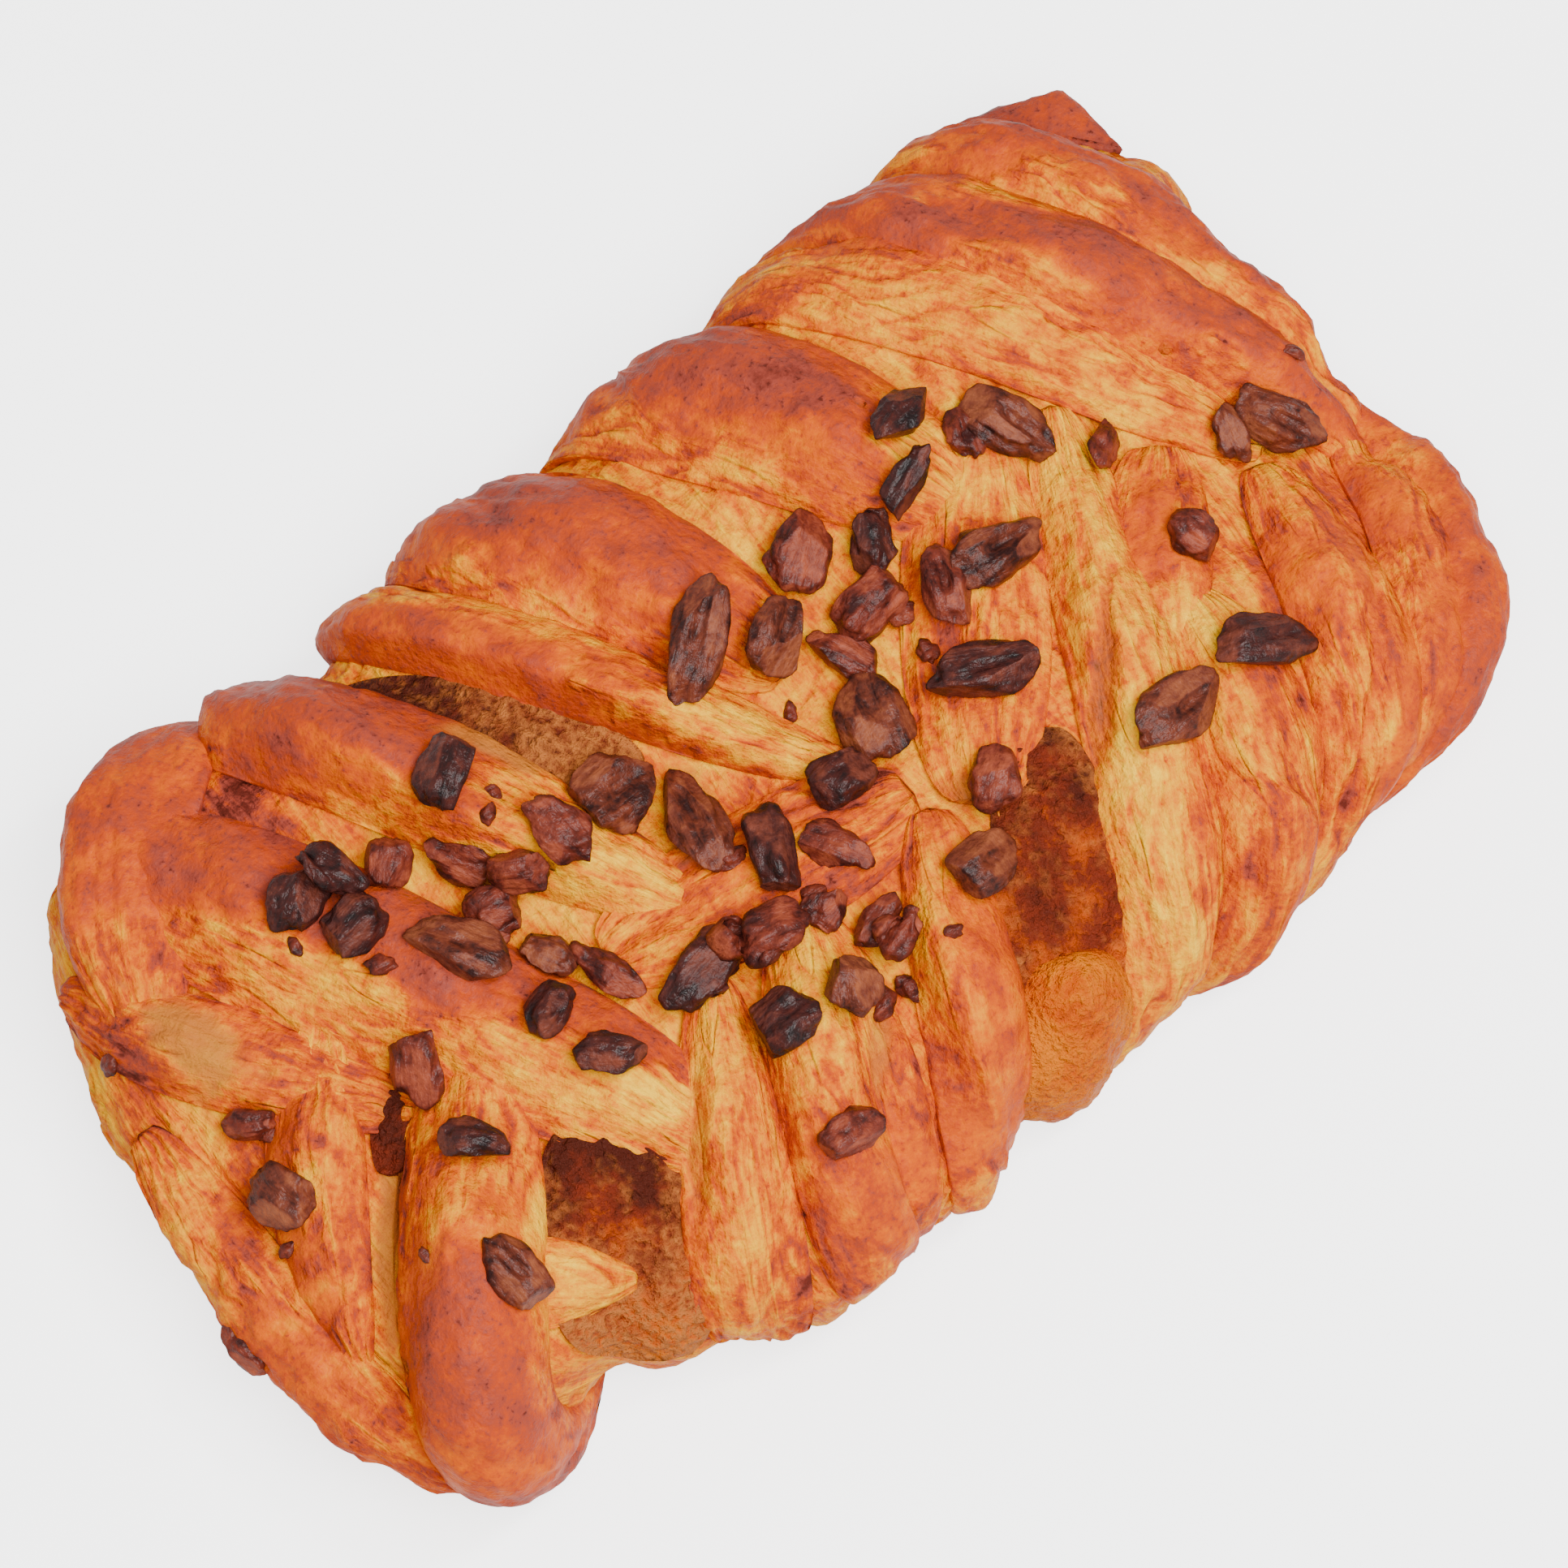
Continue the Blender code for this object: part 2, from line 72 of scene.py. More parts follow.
# Places and sizes are in millimetres on the braid's plan, as its solids have them. The loaf is
# centred on MIDDLE and the whole braid on ORIGIN. CORNERS says how square the loaf's corners are,
# and SWELLS where its outline swells or draws in: the direction from the middle in degrees, the
# spread either side of it in degrees, and how far out it goes.
MM = 0.001
MIDDLE = (-2.2, 0.2)
ORIGIN = (-3.0, -0.6)
HALF_LENGTH = 68.5
HALF_WIDTH = 39.4
CORNERS = ((5.5, 3.6), (3.8, 7.5))
SWELLS = (
    (20, 5, 2.5),
    (38, 7, 4.5),
    (51, 5, 2.2),
    (68, 6, -2.0),
    (98, 6, -1.0),
    (128, 9, -4.6),
    (149, 7, 3.6),
    (172, 7, 1.2),
    (208, 4, 2.4),
    (217, 4, -5.0),
    (239, 6, 6.2),
    (254, 5, 3.8),
    (302, 12, -2.4),
    (320, 5, -3.6),
    (334, 7, 4.2),
    (351, 6, -2.6),
)

# The loaf's height at its crown and at its waist, how its top and its sides round, the valley
# along its middle, and how low the strips and the filling reach.
CROWN = 25.5
WAIST = 9.0
DOME = 2.4
SHOULDER = 0.75
UNDER_TURN = math.radians(150)
VALLEY_DEPTH = 2.2
VALLEY_REACH = 12.0
FLOOR = 0.4
STRIP_DEPTH = 3.0
FILLING_DEPTH = 8.5

# How blunt a strip's ends are, how far they drop, and how uneven its height is.
END_BLUNT = 0.30
END_DROP = 0.55
UNEVEN = 0.45
UNEVEN_SCALE = 0.09

# The log of filling: its half sizes, its height and how square it is. TUCK is how far the filling
# in a gap reaches under the strips beside it.
LOG_HALF = (56.0, 27.0, 7.5)
LOG_HEIGHT = 12.5
LOG_SQUARE = 0.7
TUCK = 0.8

# A strip's shape as its solid has it, then its looks: where the crust lies across it, from -1 on
# its cut face to 1, and along it, from 0 at its tucked end to 1 at its tip, how dark its crust and
# the flaky dough beside the crust are baked, from 0 for cream to 1 for dark brown, and how wide
# its layers are.
Strip = namedtuple(
    "Strip", "name outer tip bow half rise face flare across along crust flaky layer")
STRIPS = (
    Strip("corner_roll", (-66, 14), (-38, 44), 4.5, 8.0, 5.0, 0.35, 0.0,
          (-2.0, 2.0), (0.36, 2.0), 0.68, 0.36, 3.0),
    Strip("corner_band", (-72, 27), (-49, -7), 0.0, 5.0, 3.4, 0.55, 0.2,
          (2.0, 3.0), (0.0, 0.4), 0.60, 0.42, 2.6),
    Strip("upper_1", (-60, 41), (-29, -28), 0.0, 8.6, 5.4, 0.62, 0.0,
          (-0.05, 1.60), (-1.0, 1.10), 0.74, 0.24, 1.6),
    Strip("upper_2", (-44, 50), (-17, -8), 0.0, 6.6, 6.6, 0.40, 0.3,
          (-0.75, 1.60), (-1.0, 0.62), 0.76, 0.22, 2.0),
    Strip("upper_3", (-30, 50), (3, -7), 0.5, 4.4, 4.8, 0.28, 0.2,
          (-2.0, 0.10), (-1.0, 0.84), 0.68, 0.24, 1.8),
    Strip("upper_4", (-16, 53), (5, 5), -1.0, 8.6, 5.4, 0.42, 0.2,
          (-0.50, 1.60), (-1.0, 0.93), 0.72, 0.26, 2.2),
    Strip("upper_5", (5, 53), (28, 7), -1.0, 9.0, 5.4, 0.50, 0.1,
          (-0.50, 1.60), (-1.0, 0.80), 0.74, 0.26, 2.4),
    Strip("upper_6", (21, 53), (56, -4), -1.5, 6.4, 3.2, 0.50, 0.1,
          (2.0, 3.0), (0.0, 0.3), 0.60, 0.27, 1.6),
    Strip("upper_7", (34, 54), (71, -12), 1.5, 7.0, 5.4, 0.38, 0.1,
          (-0.60, 1.60), (-1.0, 1.10), 0.76, 0.32, 2.0),
    Strip("upper_8", (50, 52), (75, -16), 0.0, 6.4, 4.6, 0.50, 0.2,
          (-0.20, 1.60), (-1.0, 1.20), 0.72, 0.28, 2.0),
    Strip("end_bit", (58, 51), (74, 34), -3.0, 4.4, 4.4, 0.40, 0.0,
          (-2.0, 2.0), (-1.0, 2.0), 0.80, 0.40, 2.0),
    Strip("left_side", (-74, -42), (-73, 10), 2.0, 7.4, 4.4, 0.35, 0.0,
          (-2.0, 0.3), (-1.0, 0.6), 0.54, 0.32, 2.6),
    Strip("left_middle", (-72, -23), (-50, 7), 1.0, 5.0, 3.8, 0.60, 0.0,
          (-0.9, 0.25), (-1.0, 0.80), 0.62, 0.30, 2.0),
    Strip("lower_1", (-78, -51), (-42, -6), 0.0, 7.1, 8.6, 0.50, -0.4,
          (-0.95, 0.62), (-1.0, 0.60), 0.72, 0.30, 2.0),
    Strip("flap", (-54, -25), (-43, -32), 0.0, 3.8, 2.2, 0.50, 0.9,
          (2.0, 3.0), (0.0, 0.2), 0.50, 0.10, 2.0),
    Strip("lower_2", (-43, -52), (-20, -14), 0.0, 5.6, 4.2, 0.50, 0.5,
          (2.0, 3.0), (0.0, 0.2), 0.50, 0.26, 1.7),
    Strip("lower_3", (-27, -54), (-10, -15), 0.0, 7.2, 5.0, 0.36, 0.1,
          (-0.15, 0.95), (-1.0, 0.62), 0.54, 0.22, 1.6),
    Strip("lower_4", (-14, -55), (6, -14), 0.0, 5.2, 5.8, 0.32, 0.0,
          (-0.30, 1.60), (-1.0, 1.20), 0.58, 0.24, 2.0),
    Strip("lower_5", (9, -55), (41, 11), -1.0, 6.0, 5.2, 0.45, 0.15,
          (2.0, 3.0), (0.0, 0.2), 0.50, 0.17, 1.8),
    Strip("lower_6", (23, -55), (39, -12), -2.0, 6.8, 5.4, 0.42, 0.1,
          (-0.10, 0.85), (0.05, 0.80), 0.54, 0.22, 1.8),
    Strip("patch", (31, -17), (47, 2), 0.0, 5.4, 3.4, 0.50, 0.0,
          (-0.5, 0.6), (0.2, 0.9), 0.58, 0.28, 2.2),
    Strip("lower_7", (36, -50), (54, -5), -3.0, 6.0, 4.8, 0.50, 0.0,
          (0.0, 1.1), (-1.0, 0.85), 0.62, 0.26, 1.5),
    Strip("lower_8", (45, -41), (68, -4), -4.0, 5.6, 4.4, 0.42, 0.0,
          (2.0, 3.0), (0.0, 0.6), 0.60, 0.38, 1.2),
    Strip("end_roll", (46, -42), (73, 4), -8.5, 6.0, 5.6, 0.40, 0.0,
          (-0.75, 2.0), (-1.0, 2.0), 0.64, 0.34, 1.6),
    Strip("middle_1", (10, -17), (33, 13), 0.0, 7.2, 3.0, 0.50, 0.0,
          (-0.4, 0.2), (0.2, 0.8), 0.44, 0.26, 2.4),
    Strip("middle_2", (-27, -7), (6, -12), 0.0, 7.0, 1.8, 0.50, 0.0,
          (0.0, 0.8), (0.3, 0.9), 0.50, 0.34, 2.4),
)

# The gaps in the braid where the filling shows: the shape of its solids, then how thin and amber
# it is and how much of it is pale soaked dough, both at the outer end and at the tip, how streaked
# it is with pale dough, and how much of its rise it keeps between the strips.
Gap = namedtuple("Gap", "name outer tip bow half rise face flare thin soaked streaked kept")
FILLING_GAPS = (
    Gap("big_gap", (-3, -54), (19, -14), 0.0, 6.6, 2.0, 0.50, 0.2,
        (0.90, 0.05), (-0.15, 0.05), 0.5, 0.2),
    Gap("ooze", (2, -52), (8, -32), 0.0, 6.4, 4.4, 0.50, 0.0, (1.0, 0.80), (0.0, 0.0), 0.1, 0.9),
    Gap("left_gap", (-49, -42), (-37, -18), 0.0, 6.8, 0.8, 0.50, 0.0,
        (0.90, -0.10), (1.25, -0.5), 0.6, 0.3),
    Gap("upper_gap", (-31, 31), (-13, 5), 0.0, 4.6, 0.4, 0.50, 0.0,
        (-0.10, 0.40), (-0.5, 1.1), 0.6, 0.3),
    Gap("slit", (-55, -10), (-47, -1), 0.0, 1.3, 0.8, 0.50, 0.0,
        (0.10, 0.00), (0.0, 0.0), 0.0, 0.3),
)

# Where the photograph shows the dough baked otherwise than the strip it is on: the pixel at the
# patch's middle, its reach along and across in millimetres, its turn from the photograph's level
# line in degrees, its bake level, how much of it counts, and how deep it is pressed in, in
# millimetres, or how thin and soaked it is.
Patch = namedtuple("Patch", "pixel reach turn bake share dent soaked", defaults=(0.0, 0.0))
PATCHES = (
    Patch((170, 1030), (11.5, 7.0), 30, 0.68, 0.9),
    Patch((330, 960), (8.5, 3.5), -15, 0.80, 0.7),
    Patch((250, 1085), (8.5, 3.2), -25, 0.74, 0.9),
    Patch((430, 1003), (9.0, 1.6), -22, 0.20, 0.9),
    Patch((120, 1215), (4.6, 4.2), 0, 0.40, 0.8),
    Patch((235, 1270), (6.0, 4.0), -30, 0.16, 0.8),
    Patch((160, 1335), (3.5, 5.4), 0, 0.48, 0.9),
    Patch((235, 1480), (5.4, 3.0), -50, 0.28, 0.8),
    Patch((300, 1440), (8.5, 2.6), 80, 0.60, 0.7),
    Patch((400, 1400), (9.0, 2.2), 84, 0.14, 0.7),
    Patch((350, 1640), (5.4, 4.2), -50, 0.66, 0.7),
    Patch((590, 1620), (10.0, 6.2), 85, 0.74, 0.95),
    Patch((540, 1440), (5.4, 3.8), 60, 0.34, 0.7),
    Patch((610, 1790), (7.0, 3.5), 10, 0.62, 0.8),
    Patch((676, 1570), (8.5, 1.1), 86, 0.08, 0.9),
    Patch((700, 1660), (4.6, 2.0), 80, 0.22, 0.7),
    Patch((880, 1510), (9.2, 3.2), 80, 0.24, 0.7),
    Patch((955, 1560), (5.4, 3.8), 60, 0.16, 0.6),
    Patch((1075, 1480), (7.0, 4.6), 85, 0.54, 0.85),
    Patch((1050, 1585), (3.5, 3.0), 0, 0.46, 0.7),
    Patch((1152, 1500), (7.0, 1.4), 80, 0.20, 0.7),
    Patch((1195, 1240), (14.6, 3.8), 86, 0.52, 0.85),
    Patch((1215, 1400), (4.6, 3.4), 0, 0.64, 0.7),
    Patch((1400, 1010), (14.6, 3.0), 84, 0.12, 0.85),
    Patch((1430, 1150), (8.4, 4.2), 80, 0.10, 0.8),
    Patch((1500, 1010), (9.2, 2.0), 82, 0.46, 0.7),
    Patch((1610, 900), (10.0, 3.0), 78, 0.20, 0.7),
    Patch((1565, 1060), (7.8, 2.8), 72, 0.52, 0.7),
    Patch((1600, 700), (7.2, 3.8), -65, 0.60, 0.8),
    Patch((1715, 760), (14.6, 1.6), 82, 0.36, 0.7),
    Patch((1815, 800), (11.5, 4.2), 85, 0.72, 0.8),
    Patch((1700, 590), (7.0, 3.0), -50, 0.70, 0.7),
    Patch((1450, 740), (3.8, 3.2), 90, 0.04, 0.9),
    Patch((1330, 460), (8.5, 2.3), -12, 0.08, 0.8),
    Patch((1215, 600), (4.6, 2.6), 10, 0.08, 0.8),
    Patch((1500, 540), (5.4, 2.4), -20, 0.14, 0.6),
    Patch((1412, 640), (5.8, 2.0), 86, 0.62, 0.8),
    Patch((1470, 650), (3.8, 3.0), 0, 0.54, 0.6),
    Patch((1350, 860), (11.5, 1.6), 80, 0.42, 0.6),
    Patch((740, 1090), (6.2, 5.0), 0, 0.10, 0.8),
    Patch((830, 1150), (6.2, 3.4), 80, 0.20, 0.6),
    Patch((880, 890), (11.5, 2.6), -18, 0.00, 0.85),
    Patch((930, 985), (6.2, 3.4), 0, 0.46, 0.7),
    Patch((1060, 1060), (7.8, 4.2), 0, 0.38, 0.6),
    Patch((1140, 1050), (4.6, 3.8), 0, 0.46, 0.6),
    Patch((800, 1340), (5.8, 3.5), -10, -0.06, 0.9),
    Patch((690, 1330), (6.6, 2.0), -22, 0.10, 0.8),
    Patch((640, 1285), (8.5, 2.0), -22, 0.16, 0.7),
    Patch((750, 1262), (4.2, 2.0), -20, 0.56, 0.5),
    Patch((700, 690), (13.0, 4.2), -35, 0.70, 0.85),
    Patch((560, 645), (7.0, 3.0), 20, 0.78, 0.8),
    Patch((540, 722), (6.6, 2.1), -30, 0.20, 0.85),
    Patch((870, 470), (12.5, 3.8), -15, 0.78, 0.85),
    Patch((1000, 560), (6.2, 3.8), -40, 0.60, 0.7),
    Patch((810, 560), (8.5, 2.1), -12, 0.20, 0.85),
    Patch((1180, 270), (12.5, 2.3), 4, 0.82, 0.8),
    Patch((1400, 345), (11.5, 3.3), -25, 0.72, 0.8),
    Patch((1590, 460), (7.0, 3.2), -45, 0.68, 0.7),
    Patch((1225, 160), (10.0, 2.5), 8, 0.74, 0.8),
    Patch((1410, 240), (9.2, 2.6), -35, 0.68, 0.8),
    Patch((1270, 222), (10.0, 2.0), -8, 0.22, 0.85),
    Patch((1100, 350), (8.5, 1.7), -2, 0.20, 0.7),
    Patch((960, 330), (5.4, 2.0), 20, 0.58, 0.6),
    Patch((1220, 420), (12.5, 1.7), -12, 0.20, 0.6),
    Patch((600, 790), (7.0, 2.3), -25, 0.66, 0.6),
    Patch((760, 830), (6.2, 1.9), -20, 0.62, 0.6),
    Patch((248, 1278), (4.8, 3.2), -35, 0.30, 0.8, 0.6, 0.9),
    Patch((640, 905), (7.0, 2.4), -12, 0.40, 0.5, 0.0, 0.9),
    Patch((1235, 965), (4.6, 1.7), -15, 0.40, 0.5, 0.0, 0.7),
    Patch((474, 1500), (13.0, 1.2), 89, 0.44, 0.7, 2.2, 0.8),
    Patch((848, 990), (4.6, 1.7), -80, 0.40, 0.5, 0.0, 0.6),
    Patch((1078, 1290), (4.0, 0.9), 85, 0.40, 0.6, 1.0, 0.6),
    Patch((862, 1400), (6.0, 0.9), 88, 0.30, 0.6, 1.2, 0.3),
    Patch((1355, 835), (9.0, 1.0), 85, 0.50, 0.6, 0.9, 0.3),
    Patch((1695, 800), (12.0, 0.9), 88, 0.50, 0.6, 0.8, 0.0),
)

# The tiny dark crumbs of nut on the crust: place and size.
CRUMBS = (
    (-48.3, 11.9, 1.6), (-43.4, 5.5, 2.3), (-27.4, 10.2, 1.8), (-25.5, 11.8, 1.5),
    (-66.9, -9.5, 1.6), (-56.4, -20.0, 1.4), (-0.4, -24.7, 1.6), (2.3, 1.8, 1.6),
    (62.3, 1.6, 1.8), (-69.7, 16.7, 2.2), (-61.0, 1.1, 2.4), (-11.8, -7.2, 2.6),
    (15.7, -2.0, 2.4), (-8.0, -14.4, 2.4), (-9.4, -26.4, 2.6), (-6.0, -26.5, 2.6),
    (16.5, 2.6, 2.4),
)

# How finely the pieces are meshed: the share of a strip's faces that are on its top, the size of
# its faces across and along it, the same along the filling, the fewest faces either way, the
# loaf's faces around and from top to base, and the log's around and along it. UNDER_STRIPS is how
# far the loaf lies below the surface that the strips rise from.
TOP_SHARE = 0.78
ACROSS_STEP = 0.22
ALONG_STEP = 0.62
FILLING_STEP = 0.40
LEAST_SEGMENTS = 40
LOAF_MESH = (420, 200)
LOG_MESH = (96, 48)
UNDER_STRIPS = 0.5

# The camera: its direction, how wide it sees in millimetres, how far off it is in metres and how
# high it aims. Then the pixels across the photograph, how high the strips' tops are over the loaf,
# and how often the search for the spot at a pixel closes in on it.
CAMERA_AZIMUTH = math.radians(-38.6)
CAMERA_HEIGHT = math.radians(70)
FRAME_WIDTH = 148.6
CAMERA_AWAY = 1.2
SENSOR_WIDTH = 36
AIM_HEIGHT = 11.0
PHOTO_PIXELS = 1932
STRIP_LIFT = 4.0
CLOSING_STEPS = 80

# The lights: how far to the camera's right, onward from it and up each one's direction goes, and
# its size in metres. LIGHT_AWAY is how far off they are and FLOOR_HALF how far the floor reaches.
LIGHTS = (
    ("key", (0.22, -0.34, 1.0), 0.6),
    ("glint", (0.5, 0.1, 1.0), 0.14),
    ("fill", (-0.9, 0.3, 0.9), 0.8),
)
LIGHT_AWAY = 0.9
FLOOR_HALF = 3.0


# Shapes -----------------------------------------------------------------------------------------


def loaf_reach(x, y):
    """How far out spots from the middle are, 1 on the loaf's outline, with its uneven swells."""
    corner = np.array(CORNERS)[(x >= 0).astype(int), (y >= 0).astype(int)]
    along, across = np.abs(x / HALF_LENGTH), np.abs(y / HALF_WIDTH)
    reach = (along ** corner + across ** corner) ** (1 / corner)
    direction = np.degrees(np.arctan2(y, x))
    swell = np.zeros_like(reach)
    for at, spread, push in SWELLS:
        away = (direction - at + 180) % 360 - 180
        swell += push * np.exp(-((away / spread) ** 2))
    distance = np.hypot(x, y)
    return reach * distance / np.maximum(distance + swell * reach, 1e-6)


def loaf_place(x, y):
    """The places on the loaf of spots on its plan, unrolled past the shoulder."""
    x, y = x - MIDDLE[0], y - MIDDLE[1]
    reach = loaf_reach(x, y)
    turn = np.clip((reach - SHOULDER) / (1 - SHOULDER), 0, UNDER_TURN)
    spread = np.minimum(reach, SHOULDER + (1 - SHOULDER) * np.sin(turn))
    scale = spread / np.maximum(reach, 1e-6)
    height = (1 - np.minimum(spread, 1) ** DOME) ** (1 / DOME)
    valley = VALLEY_DEPTH * np.exp(-((y / VALLEY_REACH) ** 2))
    top = WAIST + (CROWN - WAIST - valley) * height
    under = WAIST * np.maximum(0, 1 + 1.2 * np.cos(turn))
    z = np.where(turn <= math.pi / 2, top, under)
    return np.stack([
        x * scale + MIDDLE[0] - ORIGIN[0], y * scale + MIDDLE[1] - ORIGIN[1], z,
    ], axis=1)


def loaf_normal(x, y, step=0.6):
    """The outward directions of the loaf at spots on its plan."""
    along = loaf_place(x + step, y) - loaf_place(x - step, y)
    across = loaf_place(x, y + step) - loaf_place(x, y - step)
    normal = np.cross(along, across)
    length = np.linalg.norm(normal, axis=1, keepdims=True)
    return np.where(length > 1e-9, normal / np.maximum(length, 1e-9), (0, 0, 1))


def speckle(x, y, scale, seed):
    """Smooth noise from -1 to 1 at each place, its patches about 1 / scale wide."""
    places = np.stack([x, y, np.full_like(x, seed)], axis=1)
    return np.array([noise.noise(place) for place in (places * scale).tolist()])


def rise_between(low, high, value):
    """0 below low, 1 above high and a smooth rise between them."""
    share = np.clip((value - low) / (high - low), 0, 1)
    return share * share * (3 - 2 * share)


def strip_axes(strip):
    """A strip's outer end, its run to the tip and the direction of its cut face."""
    outer, run = np.array(strip.outer, float), np.array(strip.tip, float) - strip.outer
    to_face = np.array((run[1], -run[0])) / np.hypot(*run)
    if to_face[0] > 0:
        to_face = -to_face
    return outer, run, to_face


def strip_half(strip, t):
    """A strip's half width along it."""
    taper = np.maximum(0, np.sin(math.pi * t)) ** END_BLUNT
    return strip.half * taper * (1 + strip.flare * (0.5 - t))


def strip_spot(strip, t, side):
    """The plan spots on a strip at t from its outer end to its tip, side from -1 on its face."""
    outer, run, to_face = strip_axes(strip)
    push = strip.bow * 4 * t * (1 - t) - strip_half(strip, t) * side
    return outer[0] + run[0] * t + to_face[0] * push, outer[1] + run[1] * t + to_face[1] * push


def strip_reading(strip, x, y):
    """Where plan spots are on a strip: t and side, both outside their range off the strip."""
    outer, run, to_face = strip_axes(strip)
    t = ((x - outer[0]) * run[0] + (y - outer[1]) * run[1]) / (run @ run)
    push = (x - outer[0]) * to_face[0] + (y - outer[1]) * to_face[1]
    inside = np.clip(t, 0.001, 0.999)
    side = (strip.bow * 4 * inside * (1 - inside) - push) / strip_half(strip, inside)
    return t, side


def strip_height(strip, t, side):
    """The height of a strip's top over the loaf: a sloping cut face, a crest, a round side."""
    crest = 2 * strip.face - 1
    near = np.sin(math.pi / 2 * np.clip((side + 1) / (crest + 1), 0, 1))
    far = np.sin(math.pi / 2 * np.clip((1 - side) / (1 - crest), 0, 1)) ** 0.7
    low_end = 1 - END_DROP * (1 - t) ** 2
    blunt = np.maximum(0, np.sin(math.pi * t)) ** END_BLUNT
    return strip.rise * np.where(side < crest, near, far) * low_end * blunt


def mottle(x, y):
    """Uneven baking over the plan, the same on all strips so that it runs across them."""
    broad = 0.70 * speckle(x, y, 0.11, 91.0) + 0.60 * speckle(x, y, 0.30, 37.0)
    return broad + 0.40 * speckle(x, y, 0.75, 14.0)


def seen_at(pixels):
    """The plan spots that the photograph shows at its pixels, found by closing in on them."""
    scale = FRAME_WIDTH / PHOTO_PIXELS
    across = (pixels[:, 0] - PHOTO_PIXELS / 2) * scale
    up = (PHOTO_PIXELS / 2 - pixels[:, 1]) * scale + AIM_HEIGHT * math.cos(CAMERA_HEIGHT)
    turn, tilt = -CAMERA_AZIMUTH, CAMERA_HEIGHT
    x, y = np.zeros(len(pixels)), np.zeros(len(pixels))
    for _ in range(CLOSING_STEPS):
        place = loaf_place(x, y) + loaf_normal(x, y) * STRIP_LIFT
        place[:, :2] += ORIGIN
        onward = place[:, 0] * math.sin(turn) + place[:, 1] * math.cos(turn)
        miss_across = across - (place[:, 0] * math.cos(turn) - place[:, 1] * math.sin(turn))
        miss_up = (up - place[:, 2] * math.cos(tilt)) / math.sin(tilt) - onward
        x = x + 0.5 * (miss_across * math.cos(turn) + miss_up * math.sin(turn))
        y = y + 0.5 * (miss_up * math.cos(turn) - miss_across * math.sin(turn))
    return x, y


PATCH_SPOTS = seen_at(np.array([patch.pixel for patch in PATCHES], float))


def patch_shares(x, y):
    """How much each patch of the dough counts at plan spots, with ragged edges."""
    ragged = 0.9 * speckle(x, y, 0.22, 63.0) + 0.6 * speckle(x, y, 0.6, 17.0)
    for patch, at_x, at_y in zip(PATCHES, *PATCH_SPOTS):
        turn = math.radians(patch.turn) + CAMERA_AZIMUTH
        u = (x - at_x) * math.cos(turn) + (y - at_y) * math.sin(turn)
        v = (y - at_y) * math.cos(turn) - (x - at_x) * math.sin(turn)
        reach = (u / patch.reach[0]) ** 2 + (v / patch.reach[1]) ** 2
        yield patch, np.exp(-(np.maximum(0, reach * (1 + ragged)) ** 3))


def patched(x, y, bake):
    """The bake level with the patches on it, their dents and how soaked they are."""
    dent, soaked = np.zeros_like(x), np.zeros_like(x)
    for patch, share in patch_shares(x, y):
        bake = bake + (patch.bake - bake) * share * patch.share
        dent = dent + patch.dent * share
        soaked = np.maximum(soaked, patch.soaked * share)
    return bake, dent, soaked


def sheet_edges(u, v, spacing, seed):
    """The edges of thin sheets of dough along a strip: a line at each, and the sheets' rise."""
    bend = 5.4 * speckle(u, v * 1.8, 0.055, seed + 5) + 2.0 * speckle(u, v * 1.8, 0.16, seed + 9)
    sheet = (v + bend) / spacing
    step = sheet - np.floor(sheet)
    line = np.exp(-((np.minimum(step, 1 - step) / 0.13) ** 2))
    shown = rise_between(-0.20, 0.30, speckle(u, v * 3.0, 0.09, seed + 1))
    ledge = rise_between(0, 0.78, step) - rise_between(0.80, 1.0, step)
    return line * shown, (ledge - 0.5) * shown


def strip_looks(strip, t, side, x, y):
    """How well baked a strip is at its spots, with painted shade on its low sides down in the
    creases, how open its layers are, and their height.
    """
    length = np.hypot(*(np.array(strip.tip) - strip.outer))
    u, v = t * length, side * strip.half
    seed = len(strip.name) * 3.7 + strip.half + strip.rise
    ragged = 0.50 * speckle(u, v * 2.0, 0.10, seed) + 0.30 * speckle(u, v * 2.0, 0.30, seed)
    start, end = strip.across
    crust = rise_between(start - 0.36, start + 0.32, side + ragged)
    crust *= 1 - rise_between(end - 0.32, end + 0.36, side + ragged)
    start, end = strip.along
    crust *= rise_between(start - 0.10, start + 0.10, t + 0.3 * ragged)
    crust *= 1 - rise_between(end - 0.14, end + 0.12, t + 0.3 * ragged)

    line, ledge = sheet_edges(u, v, strip.layer, seed)
    cross_line, cross_ledge = sheet_edges(u, v * 0.8, strip.layer * 1.5, seed + 40)
    crest = strip_height(strip, t, side) / strip.rise
    uneven = mottle(x, y)

    bake, dent, soaked = patched(x, y, strip.flaky + (strip.crust - strip.flaky) * crust)
    opened = 1 - rise_between(0.40, 0.60, bake)
    bake = bake + opened * 0.24 * np.maximum(line, cross_line) + (0.13 + 0.07 * opened) * uneven
    # The crust is browner on the crests, as it bakes there; the low sides of each strip, down in
    # the creases between strips, are pushed toward orange as painted shade.
    bake = bake + (1 - opened) * 0.12 * (crest - 0.70) + 0.10 * rise_between(0.45, 0.0, crest)
    puffs = 0.80 * speckle(x, y, 0.15, 55.0) + 0.42 * speckle(x, y, 0.42, 23.0)
    puffs = puffs + 0.20 * speckle(x, y, 0.95, 71.0)
    wrinkles = 0.22 * speckle(u, v * 2.6, 0.42, seed + 4) * (1 - opened)
    layers = opened * (0.40 * ledge + 0.32 * cross_ledge)
    relief = puffs + wrinkles + layers - dent
    return {"bake": bake, "open": opened, "thin": soaked, "u": u, "v": v}, relief


